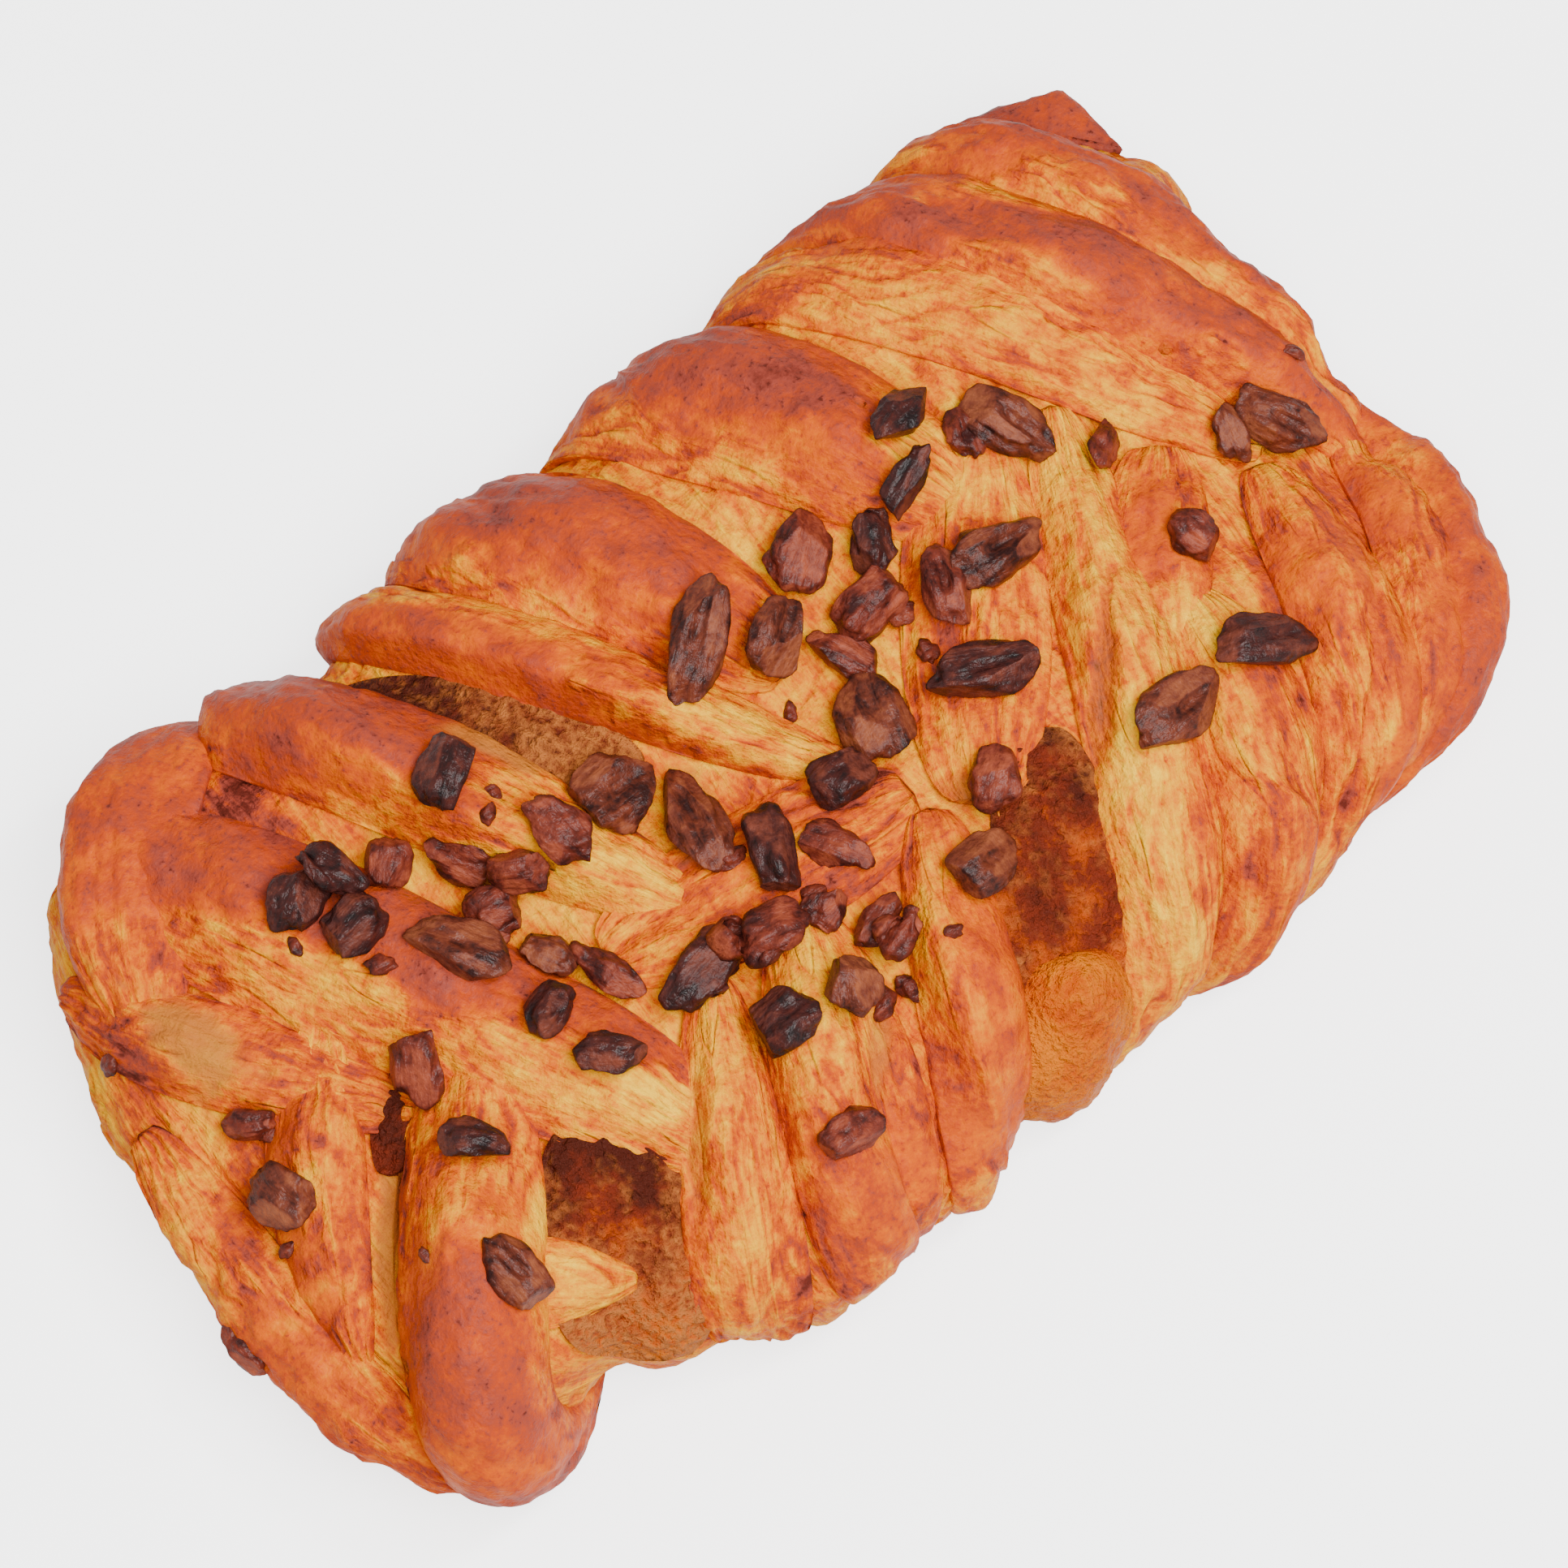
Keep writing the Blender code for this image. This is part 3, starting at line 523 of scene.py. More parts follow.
def strip_skin(strip, t, angle):
    """The places on a strip's skin and its looks there; the top is where sin(angle) > 0."""
    side = np.cos(angle)
    x, y = strip_spot(strip, t, side)
    wave = speckle(x, y, UNEVEN_SCALE, len(strip.name))
    looks, relief = strip_looks(strip, t, side, x, y)
    blunt = np.maximum(0, np.sin(math.pi * t)) ** END_BLUNT
    fade = rise_between(0.0, 0.25, np.sin(angle)) * rise_between(0.0, 0.5, blunt)
    melt = 1 - 0.60 * rise_between(0.66, 1.0, t)
    top = strip_height(strip, t, side) * (1 + UNEVEN * wave) * melt + relief * fade
    below = STRIP_DEPTH * np.sin(angle) * blunt
    height = np.where(np.sin(angle) >= 0, top, below)
    places = loaf_place(x, y) + loaf_normal(x, y) * height[:, None]
    places[:, 2] = np.maximum(places[:, 2], FLOOR)
    return places, looks


def loaf_skin(t, angle):
    """The loaf's skin, close under the strips, and its looks."""
    wall = SHOULDER + (1 - SHOULDER) * UNDER_TURN
    reach = wall * np.sin(math.pi / 2 * np.minimum(t / 0.85, 1)) ** 0.8
    x, y = np.cos(angle) * HALF_LENGTH, np.sin(angle) * HALF_WIDTH
    out = reach / loaf_reach(x, y)
    x, y = x * out + MIDDLE[0], y * out + MIDDLE[1]
    height = 0.8 * speckle(x, y, 0.15, 55.0) + 0.34 * speckle(x, y, 0.42, 23.0) - UNDER_STRIPS
    for gap in FILLING_GAPS:
        at, side = strip_reading(gap, x, y)
        room = 1 - rise_between(0.6, 1.0, np.maximum(np.abs(side), np.abs(2 * at - 1)))
        height -= 1.4 * room
    line, ledge = sheet_edges(x * 0.78 + y * 0.62, y * 0.78 - x * 0.62, 2.6, 60.0)
    height = (height + 0.45 * ledge) * (1 - rise_between(0.80, 0.85, t))
    places = loaf_place(x, y) + loaf_normal(x, y) * height[:, None]
    under = t > 0.85
    shrink = np.where(under, (1 - t) / 0.15, 1.0)
    places[:, 0] *= shrink
    places[:, 1] *= shrink
    places[:, 2] = np.where(under, 0.0, np.maximum(places[:, 2], 0.0))
    bake = 0.22 + 0.38 * rise_between(0.52, 0.78, t) + 0.18 * mottle(x, y) + 0.16 * line
    bake, _, soaked = patched(x, y, bake)
    return places, {"bake": bake, "open": np.full_like(t, 1.0), "thin": soaked, "u": y, "v": x}


def log_skin(t, angle):
    """The log of filling inside the braid."""
    def square(value):
        """A circle's coordinate drawn out toward a square's."""
        return np.copysign(np.abs(value) ** LOG_SQUARE, value)

    ring = np.sin(math.pi * t) ** LOG_SQUARE
    return np.stack([
        LOG_HALF[0] * square(np.cos(math.pi * t)),
        LOG_HALF[1] * ring * square(np.cos(angle)),
        LOG_HALF[2] * ring * square(np.sin(angle)) + LOG_HEIGHT,
    ], axis=1), {"thin": np.full_like(t, 0.2), "soaked": np.zeros_like(t)}


def gap_skin(gap, t, angle):
    """The skin of the filling that shows in a gap, grainy with chopped nut."""
    side = np.cos(angle)
    tucked = gap._replace(half=gap.half + TUCK, rise=gap.rise * gap.kept)
    x, y = strip_spot(tucked, t, side)
    wave = speckle(x, y, UNEVEN_SCALE, len(gap.name))
    blunt = np.maximum(0, np.sin(math.pi * t)) ** END_BLUNT
    top = strip_height(tucked, t, side) * (1 + UNEVEN * wave)
    grains = 0.42 * speckle(x, y, 0.4, 1.0) + 0.34 * speckle(x, y, 0.9, 2.0)
    top = top + grains * rise_between(0.0, 0.4, np.sin(angle))
    height = np.where(np.sin(angle) >= 0, top, FILLING_DEPTH * np.sin(angle) * blunt)
    places = loaf_place(x, y) + loaf_normal(x, y) * height[:, None]
    places[:, 2] = np.maximum(places[:, 2], FLOOR)
    thin = gap.thin[0] + (gap.thin[1] - gap.thin[0]) * t + 0.3 * speckle(x, y, 0.3, 4.0)
    streak = 0.7 * speckle(x, y, 0.45, 8.0) + speckle(x, y, 1.3, 9.0)
    streak = streak + 0.6 * rise_between(0.45, 0.95, np.abs(side))
    soaked = gap.soaked[0] + (gap.soaked[1] - gap.soaked[0]) * t
    soaked = np.maximum(0, soaked + gap.streaked * streak)
    return places, {"thin": thin, "soaked": soaked}


# Meshes -----------------------------------------------------------------------------------------


def skinned_sphere(name, segments, skin, top_share=0.5):
    """A closed piece: a sphere whose points skin(t, angle) places, with top_share of them on the
    top half, and the values it gives kept as attributes."""
    bm = bmesh.new()
    bmesh.ops.create_uvsphere(bm, u_segments=segments[0], v_segments=segments[1], radius=1.0)
    unit = np.array([vert.co for vert in bm.verts])
    t = np.arccos(np.clip(unit[:, 2], -1, 1)) / math.pi
    share = (np.arctan2(unit[:, 1], unit[:, 0]) / (2 * math.pi)) % 1
    angle = math.pi * np.where(
        share < top_share, share / top_share, 1 + (share - top_share) / (1 - top_share))
    places, values = skin(t, angle)
    for vert, place in zip(bm.verts, places * MM):
        vert.co = place
    if bm.calc_volume(signed=True) < 0:
        bmesh.ops.reverse_faces(bm, faces=bm.faces)
    mesh = bpy.data.meshes.new(name)
    bm.to_mesh(mesh)
    bm.free()
    mesh.shade_smooth()
    for label in ("bake", "open", "thin", "soaked"):
        if label in values:
            keep_value(mesh, label, values[label])
    if "u" in values:
        keep_lay(mesh, np.stack([values["u"], values["v"], np.zeros_like(t)], axis=1))
    thing = bpy.data.objects.new(name, mesh)
    bpy.context.scene.collection.objects.link(thing)
    return thing


def strip_segments(strip, along_step):
    """How many faces a strip needs around and along it."""
    around = int(2.6 * strip.half / ACROSS_STEP / TOP_SHARE)
    length = np.hypot(*(np.array(strip.tip) - strip.outer))
    return max(LEAST_SEGMENTS, around), max(LEAST_SEGMENTS, int(length / along_step))


def keep_value(mesh, label, values):
    """Keep one number per point on a mesh."""
    attribute = mesh.attributes.new(label, "FLOAT", "POINT")
    attribute.data.foreach_set("value", np.asarray(values, np.float32))


def keep_lay(mesh, places):
    """Keep where each point of a mesh lies along and across its grain."""
    lay = mesh.attributes.new("lay", "FLOAT_VECTOR", "POINT")
    lay.data.foreach_set("vector", places.astype(np.float32).ravel())


def settle(thing, look, slot, *nodes):
    """Give a finished piece its material and body and hide the solids it stands for; its slot is
    not used.
    """
    thing.data.materials.clear()
    thing.data.materials.append(look)
    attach(thing, "root")
    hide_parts(*nodes)


# Materials --------------------------------------------------------------------------------------


def new_material(name):
    """An empty node material with its Principled shader."""
    made = bpy.data.materials.new(name)
    made.use_nodes = True
    return made, made.node_tree, made.node_tree.nodes["Principled BSDF"]


def add(tree, kind, settings=(), inputs=()):
    """A node with its settings and input values."""
    node = tree.nodes.new(kind)
    for name, value in dict(settings).items():
        setattr(node, name, value)
    for name, value in dict(inputs).items():
        if isinstance(value, bpy.types.NodeSocket):
            tree.links.new(value, node.inputs[name])
        else:
            node.inputs[name].default_value = value
    return node


def maths(tree, operation, *values, clamp=False):
    """One Math node's result."""
    node = add(tree, "ShaderNodeMath", {"operation": operation, "use_clamp": clamp})
    for index, value in enumerate(values):
        if isinstance(value, bpy.types.NodeSocket):
            tree.links.new(value, node.inputs[index])
        else:
            node.inputs[index].default_value = value
    return node.outputs[0]


def ramp(tree, value, stops, interpolation="LINEAR"):
    """A colour ramp through stops of (position, colour)."""
    node = add(tree, "ShaderNodeValToRGB", inputs={"Fac": value})
    node.color_ramp.interpolation = interpolation
    elements = node.color_ramp.elements
    while len(elements) < len(stops):
        elements.new(0.5)
    for element, (position, colour) in zip(elements, stops):
        element.position = position
        element.color = (*colour, 1)
    return node.outputs["Color"]


def mix_colour(tree, share, low, high, blend="MIX"):
    """Two colours mixed by a share."""
    node = add(tree, "ShaderNodeMix", {"data_type": "RGBA", "blend_type": blend})
    for socket, value in ((node.inputs[0], share), (node.inputs[6], low), (node.inputs[7], high)):
        if isinstance(value, bpy.types.NodeSocket):
            tree.links.new(value, socket)
        else:
            socket.default_value = value
    return node.outputs[2]


def streaks(tree, vector, scale, detail=4.0, twist=0.6):
    """Noise stretched by its scale along and across a strip."""
    spread = add(tree, "ShaderNodeMapping", inputs={"Vector": vector, "Scale": scale})
    return add(tree, "ShaderNodeTexNoise", inputs={
        "Vector": spread.outputs[0], "Scale": 1.0, "Detail": detail, "Roughness": 0.6,
        "Distortion": twist,
    }).outputs["Fac"]


def off_middle(tree, value, amount, base=0.0):
    """Noise as a change of up to amount each way, added to base."""
    shifted = maths(tree, "SUBTRACT", value, 0.5)
    return maths(tree, "MULTIPLY_ADD", shifted, amount, base)


def grain_group():
    """The baked grain on dough, filling and nuts: soft clouds and fine grain on the object."""
    group = bpy.data.node_groups.new("baked_grain", "ShaderNodeTree")
    for label, value in (("Cloud Scale", 200.0), ("Grain Scale", 1200.0)):
        group.interface.new_socket(label, in_out="INPUT", socket_type="NodeSocketFloat")
        group.interface.items_tree[label].default_value = value
    for label in ("Cloud", "Grain"):
        group.interface.new_socket(label, in_out="OUTPUT", socket_type="NodeSocketFloat")
    source, result = group.nodes.new("NodeGroupInput"), group.nodes.new("NodeGroupOutput")
    place = add(group, "ShaderNodeTexCoord").outputs["Object"]
    for scale, label, detail in (("Cloud Scale", "Cloud", 4.0), ("Grain Scale", "Grain", 3.0)):
        made = add(group, "ShaderNodeTexNoise", inputs={
            "Vector": place, "Scale": source.outputs[scale], "Detail": detail,
            "Roughness": 0.62,
        })
        group.links.new(made.outputs["Fac"], result.inputs[label])
    return group


def baked_grain(tree, cloud_scale, grain_scale):
    """The cloud and the grain of the shared grain group."""
    group = bpy.data.node_groups.get("baked_grain") or grain_group()
    node = add(tree, "ShaderNodeGroup", {"node_tree": group},
               {"Cloud Scale": cloud_scale, "Grain Scale": grain_scale})
    return node.outputs["Cloud"], node.outputs["Grain"]


def reading(tree, label, output="Fac"):
    """An attribute kept on the mesh."""
    return add(tree, "ShaderNodeAttribute", {"attribute_name": label}).outputs[output]


def dough_material(look):
    """Baked laminated dough: from cream flaky layers to glazed dark crust by how it is baked."""
    made, tree, shader = new_material("baked_dough")
    # The bake level holds how the dough is baked and, on the strips, painted shade on their low
    # sides in the creases.
    bake, opened = reading(tree, "bake"), reading(tree, "open")
    lay = reading(tree, "lay", "Vector")
    coarse = streaks(tree, lay, (0.08, 0.34, 1.0), 3.0)
    fine = streaks(tree, lay, (0.40, 1.5, 1.0), 3.0)
    folds = streaks(tree, lay, (0.035, 0.20, 1.0), 2.0, 0.5)
    cloud, grain = baked_grain(tree, 330.0, 1500.0)
    crumb, _ = baked_grain(tree, 900.0, 1500.0)
    layer = off_middle(tree, coarse, 0.90, off_middle(tree, fine, 0.60, 0.12))
    layer = off_middle(tree, crumb, 0.50, layer)
    flaky = maths(tree, "MULTIPLY", layer, opened)
    tone = maths(tree, "MULTIPLY_ADD", flaky, -1.0, bake)
    tone = maths(tree, "MULTIPLY_ADD", opened, 0.20, tone)
    tone = off_middle(tree, cloud, 0.52, tone)
    tone = off_middle(tree, grain, 0.32, tone)
    specks = maths(tree, "MULTIPLY_ADD", grain, 7.0, -4.2, clamp=True)
    tone = maths(tree, "MULTIPLY_ADD", specks, 0.16, tone)
    sheets = maths(tree, "MULTIPLY", folds, 5.0)
    contour = maths(tree, "PINGPONG", sheets, 0.5)
    edge = maths(tree, "MULTIPLY_ADD", contour, -7.0, 1.0, clamp=True)
    edge = maths(tree, "MULTIPLY", edge, maths(tree, "MULTIPLY_ADD", coarse, 6.0, -3.0, clamp=True))
    edge = maths(tree, "MULTIPLY", edge, opened)
    tone = maths(tree, "MULTIPLY_ADD", edge, 0.15, tone)
    under = maths(tree, "MULTIPLY", maths(tree, "FRACT", sheets), opened)
    tone = maths(tree, "MULTIPLY_ADD", under, 0.10, tone)
    colour = ramp(tree, tone, (
        (0.00, look.cream), (0.18, look.yellow), (0.36, look.golden), (0.52, look.orange),
        (0.68, look.crust), (0.84, look.brown), (1.00, look.dark),
    ))
    colour = mix_colour(tree, reading(tree, "thin"), colour, (*look.soaked, 1))
    tree.links.new(colour, shader.inputs["Base Color"])
    rough = maths(tree, "MULTIPLY_ADD", opened, -0.04, 0.34)
    tree.links.new(off_middle(tree, cloud, 0.30, rough), shader.inputs["Roughness"])
    height = maths(tree, "MULTIPLY_ADD", flaky, 0.9, maths(tree, "MULTIPLY", grain, 0.32))
    height = maths(tree, "MULTIPLY_ADD", cloud, 0.8, height)
    height = maths(tree, "MULTIPLY_ADD", crumb, 0.35, height)
    height = maths(tree, "MULTIPLY_ADD", edge, -0.4, height)
    height = maths(tree, "MULTIPLY_ADD", under, 0.5, height)
    bump = add(tree, "ShaderNodeBump", inputs={
        "Strength": 0.9, "Distance": look.layer_height, "Height": height,
    })
    tree.links.new(bump.outputs[0], shader.inputs["Normal"])
    tree.links.new(maths(tree, "MULTIPLY_ADD", opened, -0.02, 0.045),
                   shader.inputs["Specular IOR Level"])
    return made


def filling_material(look):
    """Baked pecan filling: glossy, reddish brown and grainy, amber where it is thin."""
    made, tree, shader = new_material("pecan_filling")
    thin = reading(tree, "thin")
    cloud, grain = baked_grain(tree, 260.0, 1300.0)
    tone = off_middle(tree, cloud, 0.8, thin)
    tone = off_middle(tree, grain, 0.6, tone)
    colour = ramp(tree, tone, (
        (0.0, look.filling_dark), (0.35, look.filling_brown),
        (0.70, look.filling_amber), (1.0, look.filling_gold),
    ))
    pale = maths(tree, "MULTIPLY", reading(tree, "soaked"), off_middle(tree, grain, 4.0, 0.8),
                 clamp=True)
    colour = mix_colour(tree, pale, colour, (*look.filling_pale, 1))
    tree.links.new(colour, shader.inputs["Base Color"])
    shader.inputs["Roughness"].default_value = 0.30
    shader.inputs["Specular IOR Level"].default_value = 0.03
    bump = add(tree, "ShaderNodeBump", inputs={
        "Strength": 1.0, "Distance": 0.0010, "Height": grain,
    })
    tree.links.new(bump.outputs[0], shader.inputs["Normal"])
    return made


def pecan_material(name, rim, skin, broken, gloss):
    """Roasted pecan: dark skin at the edges and paler broken faces."""
    made, tree, shader = new_material(name)
    face = reading(tree, "face")
    cloud, grain = baked_grain(tree, 300.0, 1600.0)
    lay = reading(tree, "lay", "Vector")
    ridges = streaks(tree, lay, (0.3, 1.3, 1.0), 3.0, 0.4)
    tone = off_middle(tree, cloud, 1.3, maths(tree, "MULTIPLY_ADD", face, 0.30, 0.30))
    tone = off_middle(tree, grain, 0.55, tone)
    tone = off_middle(tree, ridges, 0.8, tone)
    colour = ramp(tree, tone, ((0.08, rim), (0.42, skin), (0.90, broken)))
    tree.links.new(colour, shader.inputs["Base Color"])
    shine = maths(tree, "MULTIPLY_ADD", face, 0.16, gloss)
    tree.links.new(shine, shader.inputs["Roughness"])
    shader.inputs["Specular IOR Level"].default_value = 0.18
    height = maths(tree, "MULTIPLY_ADD", ridges, 0.6, maths(tree, "MULTIPLY", grain, 0.5))
    bump = add(tree, "ShaderNodeBump", inputs={
        "Strength": 0.8, "Distance": 0.0005, "Height": height,
    })
    tree.links.new(bump.outputs[0], shader.inputs["Normal"])
    return made


# Settings ---------------------------------------------------------------------------------------


def colour_setting(name, description, default):
    """A colour that a user can change."""
    return FloatVectorProperty(name=name, description=description, default=default,
                               subtype="COLOR", min=0, max=1)


class DoughSettings(bpy.types.PropertyGroup):
    """Colours and relief of the baked dough."""

    cream: colour_setting("Cream", "Palest open layers", (0.88, 0.475, 0.012))
    yellow: colour_setting("Yellow", "Pale layers", (0.78, 0.322, 0.0))
    golden: colour_setting("Golden", "Baked layers", (0.70, 0.196, 0.0))
    orange: colour_setting("Orange", "Thin crust", (0.59, 0.092, 0.0))
    crust: colour_setting("Crust", "Glazed crust", (0.42, 0.047, 0.008))
    brown: colour_setting("Brown", "Well baked crust", (0.25, 0.042, 0.027))
    dark: colour_setting("Dark", "Darkest ridges", (0.10, 0.016, 0.010))
    soaked: colour_setting("Soaked", "Thin dough soaked by the filling", (0.42, 0.135, 0.020))
    layer_height: FloatProperty(name="Layer height", description="Relief of the thin layers",
                                default=0.0006, min=0, max=0.002, unit="LENGTH")


class FillingSettings(bpy.types.PropertyGroup):
    """Colours of the filling."""

    filling_dark: colour_setting("Dark filling", "Deepest filling", (0.060, 0.012, 0.007))
    filling_brown: colour_setting("Brown filling", "Most of the filling", (0.15, 0.020, 0.008))
    filling_amber: colour_setting("Amber filling", "Thin filling", (0.46, 0.066, 0.0))
    filling_gold: colour_setting("Golden filling", "Oozed filling", (0.58, 0.145, 0.0))
    filling_pale: colour_setting("Pale filling", "Filling under thin dough", (0.36, 0.110, 0.024))


class PecanSettings(bpy.types.PropertyGroup):
    """How fine and how wrinkled the pecans are."""

    cuts: IntProperty(name="Cuts", description="Times each pecan's faces are divided",
                      default=3, min=1, max=4)
    wrinkle: FloatProperty(name="Wrinkle", description="Depth of the nuts' wrinkles",
                           default=0.00010, min=0, max=0.001, unit="LENGTH")


class StageSettings(bpy.types.PropertyGroup):
    """The light on the pastry."""

    key_power: FloatProperty(name="Key light", description="Power of the large soft light",
                             default=15.4, min=0, unit="POWER")
    fill_power: FloatProperty(name="Fill light", description="Power of the opposite light",
                              default=1.5, min=0, unit="POWER")
    glint_power: FloatProperty(name="Glint light", description="Power of the small light",
                               default=3.2, min=0, unit="POWER")
    sky: FloatProperty(name="Sky", description="Strength of the even light", default=0.39, min=0)
    floor_glow: FloatProperty(name="Floor glow", description="How much brighter the table looks",
                              default=2.6, min=0)


# Operators --------------------------------------------------------------------------------------


class PASTRY_OT_dough(bpy.types.Operator):
    """Build the strips of dough and the loaf they lie on"""

    bl_idname = "pastry.dough"
    bl_label = "Dough"

    def execute(self, context):
        look = dough_material(context.scene.pastry_dough)
        settle(skinned_sphere("loaf", LOAF_MESH, loaf_skin), look, "baked_dough", "dough")
        for strip in STRIPS:
            segments = strip_segments(strip, ALONG_STEP)
            skin = partial(strip_skin, strip)
            thing = skinned_sphere(f"strip_{strip.name}", segments, skin, TOP_SHARE)
            settle(thing, look, "baked_dough", "dough")
        return {"FINISHED"}


class PASTRY_OT_filling(bpy.types.Operator):
    """Build the filling that shows in the braid's gaps"""

    bl_idname = "pastry.filling"
    bl_label = "Filling"

    def execute(self, context):
        look = filling_material(context.scene.pastry_filling)
        thing = skinned_sphere("filling_log", LOG_MESH, log_skin)
        settle(thing, look, "pecan_filling", "filling")
        for gap in FILLING_GAPS:
            skin = partial(gap_skin, gap)
            segments = strip_segments(gap, FILLING_STEP)
            thing = skinned_sphere(f"filling_{gap.name}", segments, skin, TOP_SHARE)
            settle(thing, look, "pecan_filling", "filling")
        return {"FINISHED"}


PECAN_LOOKS = (
    ("pecan_reddish", (0.030, 0.006, 0.005), (0.125, 0.020, 0.011), (0.290, 0.060, 0.025), 0.34),
    ("pecan_dark", (0.011, 0.006, 0.006), (0.045, 0.010, 0.008), (0.145, 0.033, 0.018), 0.28),
    ("pecan_tan", (0.022, 0.006, 0.005), (0.110, 0.022, 0.011), (0.245, 0.065, 0.024), 0.34),
)
CHOPS = 9


def chop_pecan(thing, seed, wrinkle):
    """Cut flat faces on a pecan piece, as a knife leaves them, and wrinkle it along its length."""
    points = np.array([vert.co for vert in thing.data.vertices]) / MM
    middle = points.mean(axis=0)
    _, _, axes = np.linalg.svd(points - middle, full_matrices=False)
    local = (points - middle) @ axes.T
    extent = np.abs(local).max(axis=0)
    local = local / extent * 1.14
    lump = speckle(local[:, 0] + seed * 5.3, local[:, 1], 1.15, local[:, 2])
    local = local * (1 + 0.20 * lump)[:, None]
    face = np.zeros(len(points))
    for chop in range(CHOPS):
        turn = 2.4 * chop + 1.7 * seed
        lift = 1 - 2 * (chop + 0.5) / CHOPS
        flat = math.sqrt(1 - lift * lift)
        way = np.array((flat * math.cos(turn), flat * math.sin(turn), lift))
        reach = local @ way
        keep = reach.max() * (0.80 + 0.13 * math.sin(3.1 * chop + 2.3 * seed))
        over = reach - keep
        soft = 0.5 * (over + np.sqrt(over * over + 0.0005))
        local = local - way * soft[:, None] * 0.95
        face = np.maximum(face, rise_between(0.00, 0.16, over))
    local = local * extent
    ridges = speckle(local[:, 0] * 0.35, local[:, 1], 1.1, seed * 3.1)
    lumps = speckle(local[:, 0], local[:, 2] + local[:, 1], 0.7, seed * 1.7)
    outward = local / np.maximum(np.linalg.norm(local, axis=1, keepdims=True), 1e-6)
    push = wrinkle / MM * (1.5 * (1 - 2 * np.abs(ridges)) + lumps)
    local = local + outward * push[:, None]
    moved = local @ axes + middle
    thing.data.vertices.foreach_set("co", (moved * MM).astype(np.float32).ravel())
    thing.data.update()
    keep_value(thing.data, "face", face)
    keep_lay(thing.data, local + seed * 7.0)


class PASTRY_OT_pecans(bpy.types.Operator):
    """Sculpt the chopped pecans"""

    bl_idname = "pastry.pecans"
    bl_label = "Pecans"

    def execute(self, context):
        settings = context.scene.pastry_pecans
        looks = {name: pecan_material(name, *colours) for name, *colours in PECAN_LOOKS}
        slots = {part["node"]: part["material_slot"] for part in frame["record"]["subparts"]}
        for name in sorted(frame["nodes"]):
            if not name.startswith("pecan_"):
                continue
            bm = bmesh.new()
            bm.from_mesh(frame["nodes"][name].data)
            bmesh.ops.remove_doubles(bm, verts=bm.verts, dist=0.000001)
            for _ in range(settings.cuts):
                bmesh.ops.subdivide_edges(bm, edges=bm.edges, cuts=1, smooth=1.0,
                                          use_grid_fill=True)
            number = name.removeprefix("pecan_")
            mesh = bpy.data.meshes.new(f"nut_{number}")
            bm.to_mesh(mesh)
            bm.free()
            mesh.shade_smooth()
            thing = bpy.data.objects.new(mesh.name, mesh)
            context.scene.collection.objects.link(thing)
            chop_pecan(thing, int(number), settings.wrinkle)
            settle(thing, looks[slots[name]], slots[name], name)
        return {"FINISHED"}


# A crumb's shape, and how far over the loaf the search for its place starts.
CRUMB_SHAPE = (1.2, 0.8, 0.55)
ABOVE = 15


class PASTRY_OT_crumbs(bpy.types.Operator):
    """Scatter the tiny crumbs of nut where the pastry has them"""

    bl_idname = "pastry.crumbs"
    bl_label = "Crumbs"

    def execute(self, context):
        trees = []
        for thing in list(context.scene.objects):
            if thing.name.startswith(("strip_", "loaf")):
                bm = bmesh.new()
                bm.from_mesh(thing.data)
                trees.append(BVHTree.FromBMesh(bm))
                bm.free()
        look = pecan_material(*PECAN_LOOKS[0])
        for number, (x, y, size) in enumerate(CRUMBS, start=1):
            spot = np.array([x]), np.array([y])
            place = Vector(loaf_place(*spot)[0]) * MM
            up = Vector(loaf_normal(*spot)[0])
            hits = [tree.ray_cast(place + up * ABOVE * MM, -up)[0] for tree in trees]
            hits = [hit for hit in hits if hit]
            top = max(hits, key=lambda hit: (hit - place).dot(up), default=place)
            bm = bmesh.new()
            bmesh.ops.create_icosphere(bm, subdivisions=3, radius=1.0)
            for vert in bm.verts:
                rough = 1 + 0.5 * noise.noise(vert.co * 1.3 + Vector((number * 4.1, 0, 0)))
                flat = Vector(a * b for a, b in zip(vert.co, CRUMB_SHAPE))
                vert.co = flat * rough * size / 2 * MM
            turn = Vector((0, 0, 1)).rotation_difference(up).to_matrix().to_4x4()
            turn = turn @ Matrix.Rotation(number * 1.3, 4, "Z")
            middle = Matrix.Translation(top + up * size * 0.12 * MM)
            bmesh.ops.transform(bm, matrix=middle @ turn, verts=bm.verts)
            mesh = bpy.data.meshes.new(f"crumb_{number:02d}")
            bm.to_mesh(mesh)
            bm.free()
            mesh.shade_smooth()
            keep_lay(mesh, np.array([vert.co for vert in mesh.vertices]) / MM)
            thing = bpy.data.objects.new(mesh.name, mesh)
            context.scene.collection.objects.link(thing)
            thing.data.materials.append(look)
            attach(thing, "root")
        return {"FINISHED"}


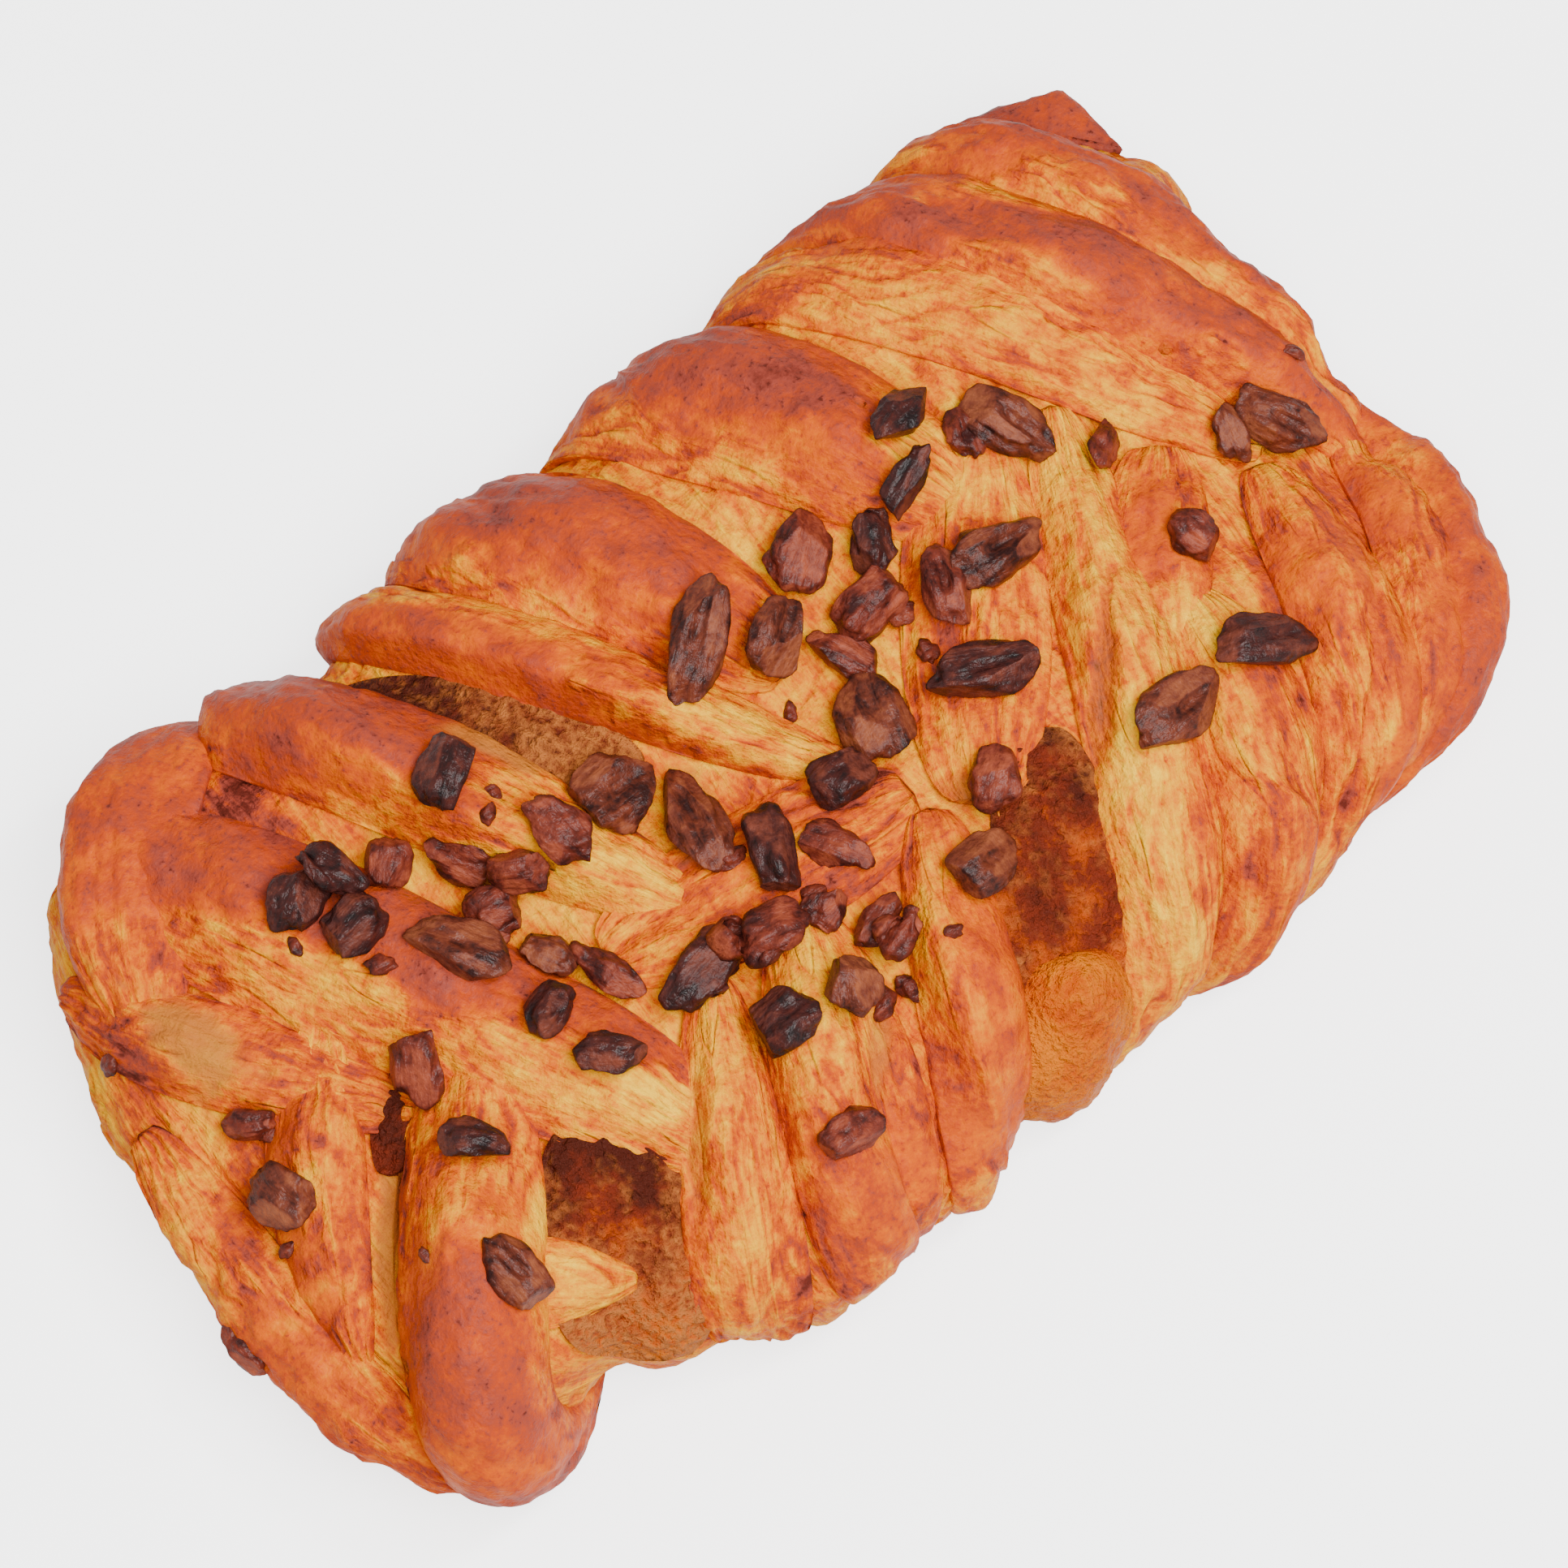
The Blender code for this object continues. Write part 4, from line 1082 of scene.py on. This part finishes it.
class PASTRY_OT_stage(bpy.types.Operator):
    """Set the floor, the soft light and the camera"""

    bl_idname = "pastry.stage"
    bl_label = "Stage"

    def execute(self, context):
        settings = context.scene.pastry_stage
        bm = bmesh.new()
        bmesh.ops.create_grid(bm, x_segments=1, y_segments=1, size=FLOOR_HALF)
        mesh = bpy.data.meshes.new("floor")
        bm.to_mesh(mesh)
        bm.free()
        floor = bpy.data.objects.new("floor", mesh)
        context.scene.collection.objects.link(floor)
        made, tree, shader = new_material("floor")
        shader.inputs["Base Color"].default_value = (0.80, 0.80, 0.80, 1)
        shader.inputs["Emission Color"].default_value = (1, 1, 1, 1)
        seen = add(tree, "ShaderNodeLightPath").outputs["Is Camera Ray"]
        tree.links.new(maths(tree, "MULTIPLY", seen, settings.floor_glow),
                       shader.inputs["Emission Strength"])
        shader.inputs["Roughness"].default_value = 0.9
        mesh.materials.append(made)

        world = bpy.data.worlds.new("studio")
        world.use_nodes = True
        back = world.node_tree.nodes["Background"]
        back.inputs["Color"].default_value = (1, 1, 1, 1)
        back.inputs["Strength"].default_value = settings.sky
        context.scene.world = world

        across = Vector((math.cos(CAMERA_AZIMUTH), math.sin(CAMERA_AZIMUTH), 0))
        onward = Vector((-math.sin(CAMERA_AZIMUTH), math.cos(CAMERA_AZIMUTH), 0))
        for name, (aside, ahead, up), size in LIGHTS:
            aim = across * aside + onward * ahead + Vector((0, 0, up))
            light = bpy.data.lights.new(name, "AREA")
            light.energy = getattr(settings, f"{name}_power")
            light.size = size
            lamp = bpy.data.objects.new(name, light)
            lamp.location = aim.normalized() * LIGHT_AWAY
            lamp.rotation_euler = aim.to_track_quat("Z", "Y").to_euler()
            context.scene.collection.objects.link(lamp)

        lens = bpy.data.cameras.new("camera")
        camera = bpy.data.objects.new("camera", lens)
        target = Vector((-ORIGIN[0], -ORIGIN[1], AIM_HEIGHT)) * MM
        away = Vector((0, 0, math.sin(CAMERA_HEIGHT))) - onward * math.cos(CAMERA_HEIGHT)
        camera.location = target + away * CAMERA_AWAY
        camera.rotation_euler = away.to_track_quat("Z", "Y").to_euler()
        lens.sensor_width = SENSOR_WIDTH
        lens.lens = SENSOR_WIDTH * CAMERA_AWAY / (FRAME_WIDTH * MM)
        lens.clip_end = 20
        context.scene.collection.objects.link(camera)
        context.scene.camera = camera
        return {"FINISHED"}


class PASTRY_PT_panel(bpy.types.Panel):
    """The pastry's pieces"""

    bl_idname = "PASTRY_PT_panel"
    bl_label = "Pecan Braid"
    bl_space_type = "VIEW_3D"
    bl_region_type = "UI"
    bl_category = "Pastry"

    def draw(self, context):
        for operator in OPERATORS:
            self.layout.operator(operator.bl_idname)


SETTINGS = (
    ("pastry_dough", DoughSettings),
    ("pastry_filling", FillingSettings),
    ("pastry_pecans", PecanSettings),
    ("pastry_stage", StageSettings),
)
OPERATORS = (
    PASTRY_OT_dough, PASTRY_OT_filling, PASTRY_OT_pecans, PASTRY_OT_crumbs, PASTRY_OT_stage,
)


def register():
    for name, group in SETTINGS:
        bpy.utils.register_class(group)
        setattr(bpy.types.Scene, name, PointerProperty(type=group))
    for cls in (*OPERATORS, PASTRY_PT_panel):
        bpy.utils.register_class(cls)


def unregister():
    for cls in (*OPERATORS, PASTRY_PT_panel):
        bpy.utils.unregister_class(cls)
    for name, group in SETTINGS:
        delattr(bpy.types.Scene, name)
        bpy.utils.unregister_class(group)


def main():
    register()
    bpy.ops.pastry.dough()
    bpy.ops.pastry.filling()
    bpy.ops.pastry.pecans()
    bpy.ops.pastry.crumbs()
    bpy.ops.pastry.stage()


if __name__ == "__main__":
    main()
